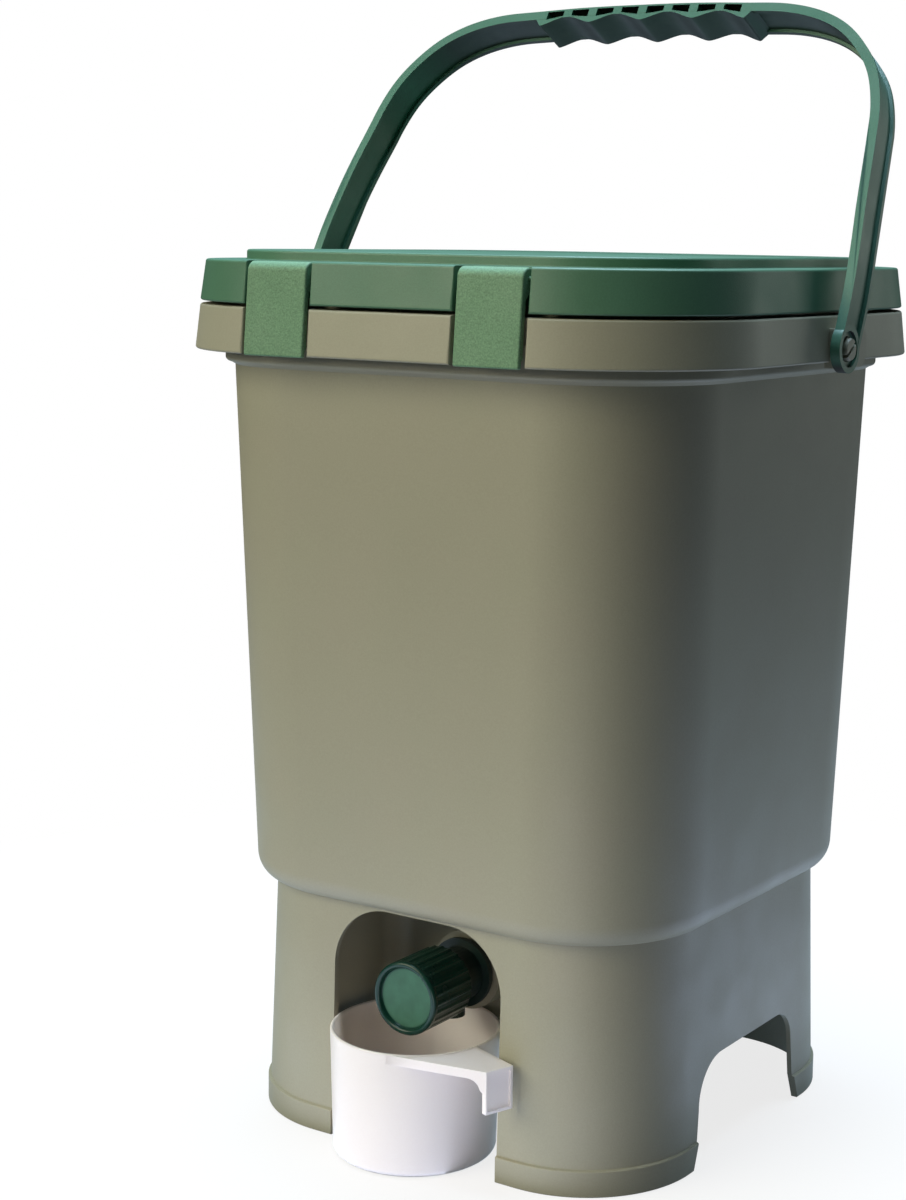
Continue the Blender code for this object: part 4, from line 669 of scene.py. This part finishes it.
def latch_outline():
    """The front latches' side view about their pin, from the round top down the face and up the back."""
    def at(face, z):
        return (-(face - LATCH_Y), z - LATCH_Z)

    slope = (FACE_LOW - FACE_HIGH) / (LATCH_Z - LATCH_LOW)

    def inside(z):
        return FACE_HIGH - LATCH_THICK + slope * (LATCH_Z - z)

    back = FACE_LOW - LATCH_THICK
    points = arc(0.0, 0.0, LATCH_RADIUS, -20.0, 180.0, 36)
    points += [at(FACE_HIGH + slope * (LATCH_Z - z), z) for z in LATCH_LEVELS]
    toe = arc(FACE_LOW - TOE_BACK, LATCH_LOW + TOE_RADIUS, TOE_RADIUS, 0.0, -90.0, SMALL_ARC)
    points += [at(y, z) for y, z in toe]
    points += [at(back + HOOK_DEPTH, LATCH_LOW), at(back, LATCH_LOW + HOOK_DEPTH)]
    points += [at(inside(HOOK_LOW), HOOK_LOW), at(inside(HOOK_LOW) - HOOK_DEPTH, HOOK_LOW + HOOK_DEPTH)]
    points += [at(inside(HOOK_HIGH) - HOOK_DEPTH, HOOK_HIGH - HOOK_DEPTH), at(inside(HOOK_HIGH), HOOK_HIGH)]
    shoulder = LATCH_Z - 2.0 * LATCH_RADIUS
    points.append(at(inside(shoulder), shoulder))
    points += arc(0.0, 0.0, LATCH_RADIUS, -70.0, -40.0, 5)
    return points


def make_latch(name, across, face):
    latch = prism(name, latch_outline(), -LATCH_HALF, LATCH_HALF, axis="X")
    bm = bmesh.new()
    bm.from_mesh(latch.data)
    rim = []
    for edge in bm.edges:
        a, b = (v.co for v in edge.verts)
        middle = (a + b) / 2.0
        flat = abs(a.x - b.x) < 1e-6
        if flat and (middle.z > 0.0 or middle.y < LATCH_Y - FACE_HIGH + 0.0001):
            rim.append(edge)
    bmesh.ops.bevel(bm, geom=rim, offset=LATCH_EDGE, segments=4, profile=0.5, affect="EDGES")
    bm.to_mesh(latch.data)
    bm.free()
    join(latch, prism("pins", disc(0.0, 0.0, PIN_RADIUS), -PIN_END, PIN_END, axis="X"))
    if face > 0:
        transform(latch, Matrix.Rotation(math.pi, 4, "Z"))
    transform(latch, Matrix.Translation((across, face * LATCH_Y, LATCH_Z)))
    finish(latch, 0.0002, 50.0)
    return latch


# ---------------------------------------------------------------- bail

def bail_path():
    """The strap's middle line as (x, height over the eyes), a smooth curve through the shares."""
    points = [Vector((x * BAIL_EYE_X, z * BAIL_RISE)) for x, z in BAIL_SHARES]
    full = [points[0]] + points + [Vector((-points[-2].x, points[-2].y))]
    half = []
    for i in range(1, len(full) - 2):
        p0, p1, p2, p3 = full[i - 1:i + 3]
        for k in range(BAIL_STEPS):
            t = k / BAIL_STEPS
            a = -p0 + 3.0 * p1 - 3.0 * p2 + p3
            b = 2.0 * p0 - 5.0 * p1 + 4.0 * p2 - p3
            half.append(p1 + 0.5 * ((p2 - p0) * t + b * t * t + a * t * t * t))
    half.append(points[-1])
    return [Vector((-p.x, p.y)) for p in half[:-1]] + list(reversed(half))


def strap_section(width):
    t, w, b = BAIL_THICK / 2.0, width / 2.0, BAIL_WEB / 2.0
    f = w - BAIL_FLANGE
    flange = [(b, f), (t, f + FLANGE_SLOPE), (t, w)]
    points = [(n, -a) for n, a in reversed(flange)]
    points += flange
    points += [(-n, a) for n, a in reversed(flange)]
    points += [(-n, -a) for n, a in flange]
    return points


def make_strap(path):
    runs = [0.0]
    for a, b in zip(path, path[1:]):
        runs.append(runs[-1] + (b - a).length)
    to_grip = min(run for run, p in zip(runs, path) if abs(p.x) <= GRIP_HALF)
    loops = []
    for i, (run, p) in enumerate(zip(runs, path)):
        width = mix(WIDTH_EYE, WIDTH_GRIP, min(1.0, run / to_grip, (runs[-1] - run) / to_grip))
        ahead = (path[min(i + 1, len(path) - 1)] - path[max(i - 1, 0)]).normalized()
        out = Vector((-ahead.y, ahead.x))
        loops.append([(p.x + out.x * n, w, p.y + out.y * n) for n, w in strap_section(width)])
    return loft("bail_strap", loops)


def grip_depth(u):
    wave = math.cos(2.0 * math.pi * u / GRIP_PITCH)
    peak = 1.0 - 2.0 * math.sqrt(math.sin(math.pi * u / GRIP_PITCH) ** 2 + GRIP_SOFT)
    fade = min(1.0, (GRIP_HALF - abs(u)) / GRIP_RAMP)
    return mix(BAIL_WEB / 2.0, GRIP_DROP + GRIP_WAVE * mix(wave, peak, GRIP_PEAK), fade)


def path_level(path, u):
    for a, b in zip(path, path[1:]):
        if a.x <= u <= b.x:
            return mix(a.y, b.y, (u - a.x) / (b.x - a.x))
    return path[0].y


def make_grip(path):
    top, low = [], []
    for k in range(GRIP_SAMPLES + 1):
        u = GRIP_HALF * (2.0 * k / GRIP_SAMPLES - 1.0)
        place = u + GRIP_SHIFT
        level = path_level(path, place)
        top.append((place, level + BAIL_THICK / 2.0 - GRIP_INSET))
        low.append((place, level - grip_depth(u)))
    half = WIDTH_GRIP / 2.0 - GRIP_INSET
    return prism("bail_grip", low + list(reversed(top)), -half, half, axis="Y")


def cut_pockets(piece, path):
    half = WIDTH_GRIP / 2.0
    for face in (1, -1):
        for k in range(POCKETS):
            middle = POCKET_PITCH * (k - (POCKETS - 1) / 2.0)
            lows, highs = [], []
            for u in (middle - POCKET_WIDTH / 2.0, middle + POCKET_WIDTH / 2.0):
                place = u + GRIP_SHIFT
                level = path_level(path, place)
                high = level + BAIL_THICK / 2.0 - POCKET_TOP
                lows.append((place, max(high - POCKET_HEIGHT, level - grip_depth(u) + POCKET_SKIN)))
                highs.append((place, high))
            outline = lows + highs[::-1]
            ends = sorted((face * (half - POCKET_DEPTH), face * (half + EDGE)))
            cut(piece, prism("pocket", outline, ends[0], ends[1], axis="Y"))


def to_bail(obj):
    """Bends a piece as the resting bail bends, then turns it to its pose."""
    for vertex in obj.data.vertices:
        share = min(1.0, max(0.0, vertex.co.z / BAIL_RISE))
        vertex.co.y -= BAIL_BEND * math.sin(math.pi * min(1.0, share / BAIL_BEND_SHARE))
        vertex.co.z += BAIL_TURN * max(0.0, -vertex.co.x) * share ** 4
        vertex.co.x += BAIL_LEAN * share ** 4
    return transform(
        obj, Matrix.Translation((0.0, 0.0, PIVOT_Z)) @ Matrix.Rotation(-BAIL_TILT, 4, "X"))


def make_bail():
    path = bail_path()
    strap = make_strap(path)
    for side in (1, -1):
        turn = Matrix.Translation((side * BAIL_EYE_X, 0.0, 0.0)) @ Matrix.Rotation(math.pi / 2.0, 4, "Y")
        t, b = BAIL_THICK / 2.0, BAIL_WEB / 2.0
        join(strap, transform(turned("eye", ((EYE_RADIUS, -t), (EYE_RADIUS, t)), 80), turn))
        dish = EYE_RADIUS - BAIL_FLANGE
        for low, high in ((b, t + EDGE), (-t - EDGE, -b)):
            cut(strap, transform(turned("dish", ((dish, low), (dish, high)), 64), turn))
        cut(strap, transform(turned("bore", ((EYE_BORE, -t), (EYE_BORE, t)), 48), turn))
    grip = make_grip(path)
    cut_pockets(strap, path)
    cut_pockets(grip, path)
    finish(strap, 0.0004, 35.0)
    finish(grip, 0.00045, 35.0)
    return to_bail(strap), to_bail(grip)


# ---------------------------------------------------------------- knob and cup

def make_knob():
    count = KNOB_RIBS * 8
    ribs = []
    for k in range(count):
        a = 2.0 * math.pi * k / count
        lift = max(0.0, math.cos(KNOB_RIBS * a)) ** KNOB_RIB_POWER
        radius = mix(KNOB_RADIUS, KNOB_RIB, lift)
        ribs.append((radius * math.cos(a), radius * math.sin(a)))

    def plain(radius, z):
        return circle(radius, z, count)

    rim = KNOB_RIB
    loops = [[(x * KNOB_TAPER, y * KNOB_TAPER, KNOB_BACK) for x, y in ribs],
             [(x, y, KNOB_BACK + KNOB_CHAMFER) for x, y in ribs],
             [(x, y, KNOB_BAND) for x, y in ribs], plain(rim, KNOB_BAND + EDGE)]
    inner = rim - KNOB_RIM
    turns = [(KNOB_ROUND * (1.0 - cosine), KNOB_ROUND * (1.0 - sine)) for cosine, sine in quarter(SMALL_ARC)]
    loops += [plain(rim - back, KNOB_FACE - down) for back, down in turns]
    loops += [plain(inner + back, KNOB_FACE - down) for down, back in turns]
    loops += [plain(inner - back, KNOB_FACE - KNOB_RECESS + up) for back, up in KNOB_FLOOR]
    knob = along_y(loft("knob_skin", loops))
    hollow = ((KNOB_INNER, KNOB_BACK - OVER), (KNOB_INNER, KNOB_WEB))
    cut(knob, along_y(turned("hollow", hollow, 64)))
    finish(knob, 0.0)
    return knob


def make_cup():
    profile = arc(CUP_BASE - CUP_FILLET, CUP_FILLET, CUP_FILLET, -90.0, 0.0)
    lip = CUP_WALL / 2.0
    profile += arc(CUP_RIM - lip, CUP_HEIGHT - lip, lip, 0.0, 180.0)
    profile += arc(CUP_BASE - CUP_WALL - CUP_FILLET, CUP_WALL + CUP_FILLET, CUP_FILLET, 0.0, -90.0)
    cup = turned("cup_skin", profile, 160)
    handle = make_handle()
    inside = CUP_RIM - CUP_WALL / 2.0
    cut(handle, turned("mouth", ((inside, STRAP_LOW), (inside, CUP_HEIGHT + OVER)), 160))
    finish(cup, 0.0)
    finish(handle, 0.0004, 35.0)
    return cup, handle


def plate_outline():
    """The handle's plate from above: along the cup's rim, then straight out to the strap."""
    reach = CUP_REACH + STRAP_PROUD
    radius = CUP_RIM - EDGE / 2.0
    near = math.atan2(-STRAP_HALF, reach) - math.acos(radius / math.hypot(reach, STRAP_HALF))
    start = math.asin(STRAP_HALF / radius)
    turns = [mix(start, near, k / RIM_STEPS) for k in range(RIM_STEPS + 1)]
    rim = [(radius * math.cos(t), radius * math.sin(t)) for t in turns]
    share = (radius - 2.0 * CUP_WALL) / radius
    inner = [(x * share, y * share) for x, y in rim]
    return [(reach, STRAP_HALF), rim[0]] + inner + [rim[-1], (reach, -STRAP_HALF)]


def skirt_panel(start, stop):
    """A thin upright wall under one edge of the handle's plate, curving down into the strap."""
    start, stop = Vector(start), Vector(stop)
    run = (stop - start).normalized()
    inward = Vector((-run.y, run.x)) if start.y < 0.0 else Vector((run.y, -run.x))
    length = (stop - start).length
    loops = []
    strap_face = CUP_REACH - STRAP_THICK
    high = PLATE_UNDER + SKIRT_OVERLAP
    for k in range(SKIRT_STEPS + 1):
        p = start + run * (length * k / SKIRT_STEPS)
        gap = min(PLATE_TURN, max(0.0, strap_face - p.x))
        drop = PLATE_TURN - math.sqrt(PLATE_TURN ** 2 - (PLATE_TURN - gap) ** 2)
        low = PLATE_UNDER - PLATE_SKIRT - drop
        q = p + inward * STRAP_RIB
        loops.append([(p.x, p.y, low), (q.x, q.y, low), (q.x, q.y, high), (p.x, p.y, high)])
    return loft("handle_skirt", loops)


def make_handle():
    outer = CUP_REACH + STRAP_PROUD
    high = CUP_HEIGHT - PLATE_DROP
    outline = plate_outline()
    plate = prism("handle", outline, PLATE_UNDER, high)
    inner_x = CUP_REACH - STRAP_THICK
    strap = box("strap", (inner_x, -STRAP_HALF, STRAP_LOW), (outer, STRAP_HALF, high))
    cut(strap, box("channel", (CUP_REACH, STRAP_RIB - STRAP_HALF, STRAP_LOW + STRAP_RIB),
                   (outer + OVER, STRAP_HALF - STRAP_RIB, PLATE_UNDER)))
    join(plate, strap)
    join(plate, skirt_panel(outline[-2], (outer - EDGE, -STRAP_HALF)))
    join(plate, skirt_panel(outline[1], (outer - EDGE, STRAP_HALF)))
    return plate


def place_cup(obj):
    turn = Matrix.Translation((CUP_X, CUP_Y, 0.0)) @ Matrix.Rotation(CUP_ANGLE, 4, "Z")
    return transform(obj, turn)


# ---------------------------------------------------------------- camera and light

CAMERA_PLACE = (0.562086, -0.889384, 0.416891)
CAMERA_YAW, CAMERA_PITCH, CAMERA_ROLL = 0.570099, 0.125653, 0.0152438
FOCAL_PIXELS, PHOTO_WIDE, PHOTO_HIGH = 2204.823, 906.0, 1200.0
CENTRE_X, CENTRE_Y = 539.821, 513.443
SENSOR = 36.0

# Colours of the floor as the camera and other rays see it, of its glow in reflections, and of the world.
FLOOR_SEEN, FLOOR_UNSEEN = (0.88, 0.85, 0.83), (0.06, 0.06, 0.06)
GLOW_COLOUR, SKY_COLOUR, SKY_STRENGTH = (0.62, 0.82, 1.0, 1.0), (0.82, 0.92, 1.0, 1.0), 0.02

# Each lamp: name, place, target, size, watts, colour.
LAMPS = (
    ("key", (-1.08, -2.03, 1.44), (0.0, 0.0, 0.22), (1.8, 1.8), 58.5, (1.0, 0.96, 0.76)),
    ("top", (-0.25, 0.40, 2.78), (0.0, 0.0, 0.22), (1.8, 1.8), 162.0, (0.60, 0.80, 1.0)),
    ("back", (1.27, 2.20, 0.76), (0.0, 0.0, 0.22), (1.3, 1.3), 7.0, (0.90, 0.98, 0.90)),
    ("fill", (0.14, -0.36, 0.06), (0.0, -0.12, 0.03), (0.14, 0.08), 0.125, (1.0, 0.95, 0.99)),
    ("bounce_front", (-0.05, -0.245, 0.001), (-0.05, -0.245, 1.0), (0.42, 0.25), 0.42, (0.74, 0.80, 1.0)),
    ("bounce_right", (0.300, 0.13, 0.001), (0.300, 0.13, 1.0), (0.30, 0.30), 0.45, (0.60, 0.70, 1.0)),
)


def make_camera():
    cy, sy = math.cos(CAMERA_YAW), math.sin(CAMERA_YAW)
    cp, sp = math.cos(CAMERA_PITCH), math.sin(CAMERA_PITCH)
    ahead = Vector((-sy * cp, cy * cp, -sp))
    right = Vector((cy, sy, 0.0))
    up = right.cross(ahead)
    cr, sr = math.cos(CAMERA_ROLL), math.sin(CAMERA_ROLL)
    x_axis = right * cr + up * sr
    y_axis = up * cr - right * sr
    rotation = Matrix((x_axis, y_axis, -ahead)).transposed()
    data = bpy.data.cameras.new("camera")
    data.sensor_width = SENSOR
    data.lens = FOCAL_PIXELS * SENSOR / PHOTO_HIGH
    data.shift_x = (PHOTO_WIDE / 2.0 - CENTRE_X) / PHOTO_HIGH
    data.shift_y = (CENTRE_Y - PHOTO_HIGH / 2.0) / PHOTO_HIGH
    data.clip_start = 0.01
    camera = bpy.data.objects.new("camera", data)
    camera.matrix_world = Matrix.Translation(CAMERA_PLACE) @ rotation.to_4x4()
    bpy.context.scene.collection.objects.link(camera)
    bpy.context.scene.camera = camera


def area(name, place, target, size, power, colour):
    data = bpy.data.lights.new(name, "AREA")
    data.shape = "RECTANGLE"
    data.size, data.size_y = size
    data.energy = power
    data.color = colour
    lamp = bpy.data.objects.new(name, data)
    lamp.location = place
    lamp.rotation_euler = (Vector(target) - Vector(place)).to_track_quat("-Z", "Y").to_euler()
    lamp.visible_camera = False
    bpy.context.scene.collection.objects.link(lamp)


def blend(tree, factor, one, two):
    """One shader where the factor is 0, the other where it is 1."""
    made = tree.nodes.new("ShaderNodeMixShader")
    for socket, value in zip(made.inputs, (factor, one, two)):
        tree.links.new(value, socket)
    return made.outputs[0]


def make_floor():
    """A white floor that keeps the part's shadow, and glows pale blue in reflections near it."""
    bm = bmesh.new()
    bmesh.ops.create_grid(bm, x_segments=24, y_segments=24, size=6.0)
    floor = obj_from(bm, "floor")
    floor.location = (0.0, 0.0, -0.0002)
    mat = bpy.data.materials.new("floor")
    mat.use_nodes = True
    tree = mat.node_tree
    tree.nodes.clear()
    out = tree.nodes.new("ShaderNodeOutputMaterial")
    path = tree.nodes.new("ShaderNodeLightPath").outputs
    plain = tree.nodes.new("ShaderNodeBsdfDiffuse")
    tree.links.new(tint(tree, path["Is Camera Ray"], FLOOR_UNSEEN, FLOOR_SEEN), plain.inputs["Color"])
    white = tree.nodes.new("ShaderNodeEmission")
    length = maths(tree, "LENGTH", object_coords(tree), kind="ShaderNodeVectorMath").outputs["Value"]
    far = spread(tree, length, 0.80, 1.0, 0.15, 0.55)
    share = maths(tree, "MULTIPLY", far, path["Is Camera Ray"]).outputs[0]
    seen = blend(tree, share, plain.outputs[0], white.outputs[0])
    glow = node(tree, "ShaderNodeEmission", Color=GLOW_COLOUR)
    near = spread(tree, length, 0.9, 0.0, 0.5, 1.5)
    mirrored = maths(tree, "MULTIPLY", near, path["Is Glossy Ray"]).outputs[0]
    tree.links.new(blend(tree, mirrored, seen, glow.outputs[0]), out.inputs["Surface"])
    floor.data.materials.append(mat)


def make_world():
    """White behind the part and through it, and a faint pale light from everywhere."""
    world = bpy.data.worlds.new("world")
    bpy.context.scene.world = world
    world.use_nodes = True
    tree = world.node_tree
    tree.nodes.clear()
    out = tree.nodes.new("ShaderNodeOutputWorld")
    path = tree.nodes.new("ShaderNodeLightPath").outputs
    seen = maths(tree, "ADD", path["Is Camera Ray"], path["Is Transmission Ray"])
    seen.use_clamp = True
    soft = node(tree, "ShaderNodeBackground", Color=SKY_COLOUR, Strength=SKY_STRENGTH)
    white = node(tree, "ShaderNodeBackground", Color=(1.0, 1.0, 1.0, 1.0), Strength=1.0)
    both = blend(tree, seen.outputs[0], soft.outputs[0], white.outputs[0])
    tree.links.new(both, out.inputs["Surface"])


make_camera()
make_floor()
make_world()
for lamp in LAMPS:
    area(*lamp)
bpy.context.scene.view_settings.view_transform = "Standard"

dress(make_body(), "bin", ["bin_body"], MATERIALS["body"])
dress(make_lid(), "lid", ["lid"], MATERIALS["lid"])
for latch_name, latch_x, latch_face in (
        ("latch_front_left", -LATCH_X, -1), ("latch_front_right", LATCH_X, -1),
        ("latch_back_left", -LATCH_X, 1), ("latch_back_right", LATCH_X, 1)):
    piece = make_latch(latch_name + "_skin", latch_x, latch_face)
    dress(piece, latch_name, [latch_name], MATERIALS["latch"])
for bail_piece in make_bail():
    dress(bail_piece, "bail", ["bail"], MATERIALS["bail"])
dress(make_knob(), "tap_turn", ["tap_knob"], MATERIALS["knob"])
for cup_piece in make_cup():
    dress(place_cup(cup_piece), "cup", ["cup"], MATERIALS["cup"])

# The solids that keep their own shape here and only get a material.
NODE_MATERIALS = {
    "tap_body": "tap", "drain_grid": "grid",
    "lid_seal": "seal", "tap_washer_outer": "seal", "tap_washer_inner": "seal", "tap_nut": "nut",
    "tap_plug": "nut", "tap_oring_back": "seal", "tap_oring_front": "seal",
}
for name, key in NODE_MATERIALS.items():
    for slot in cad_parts[name].material_slots:
        slot.material = MATERIALS[key]
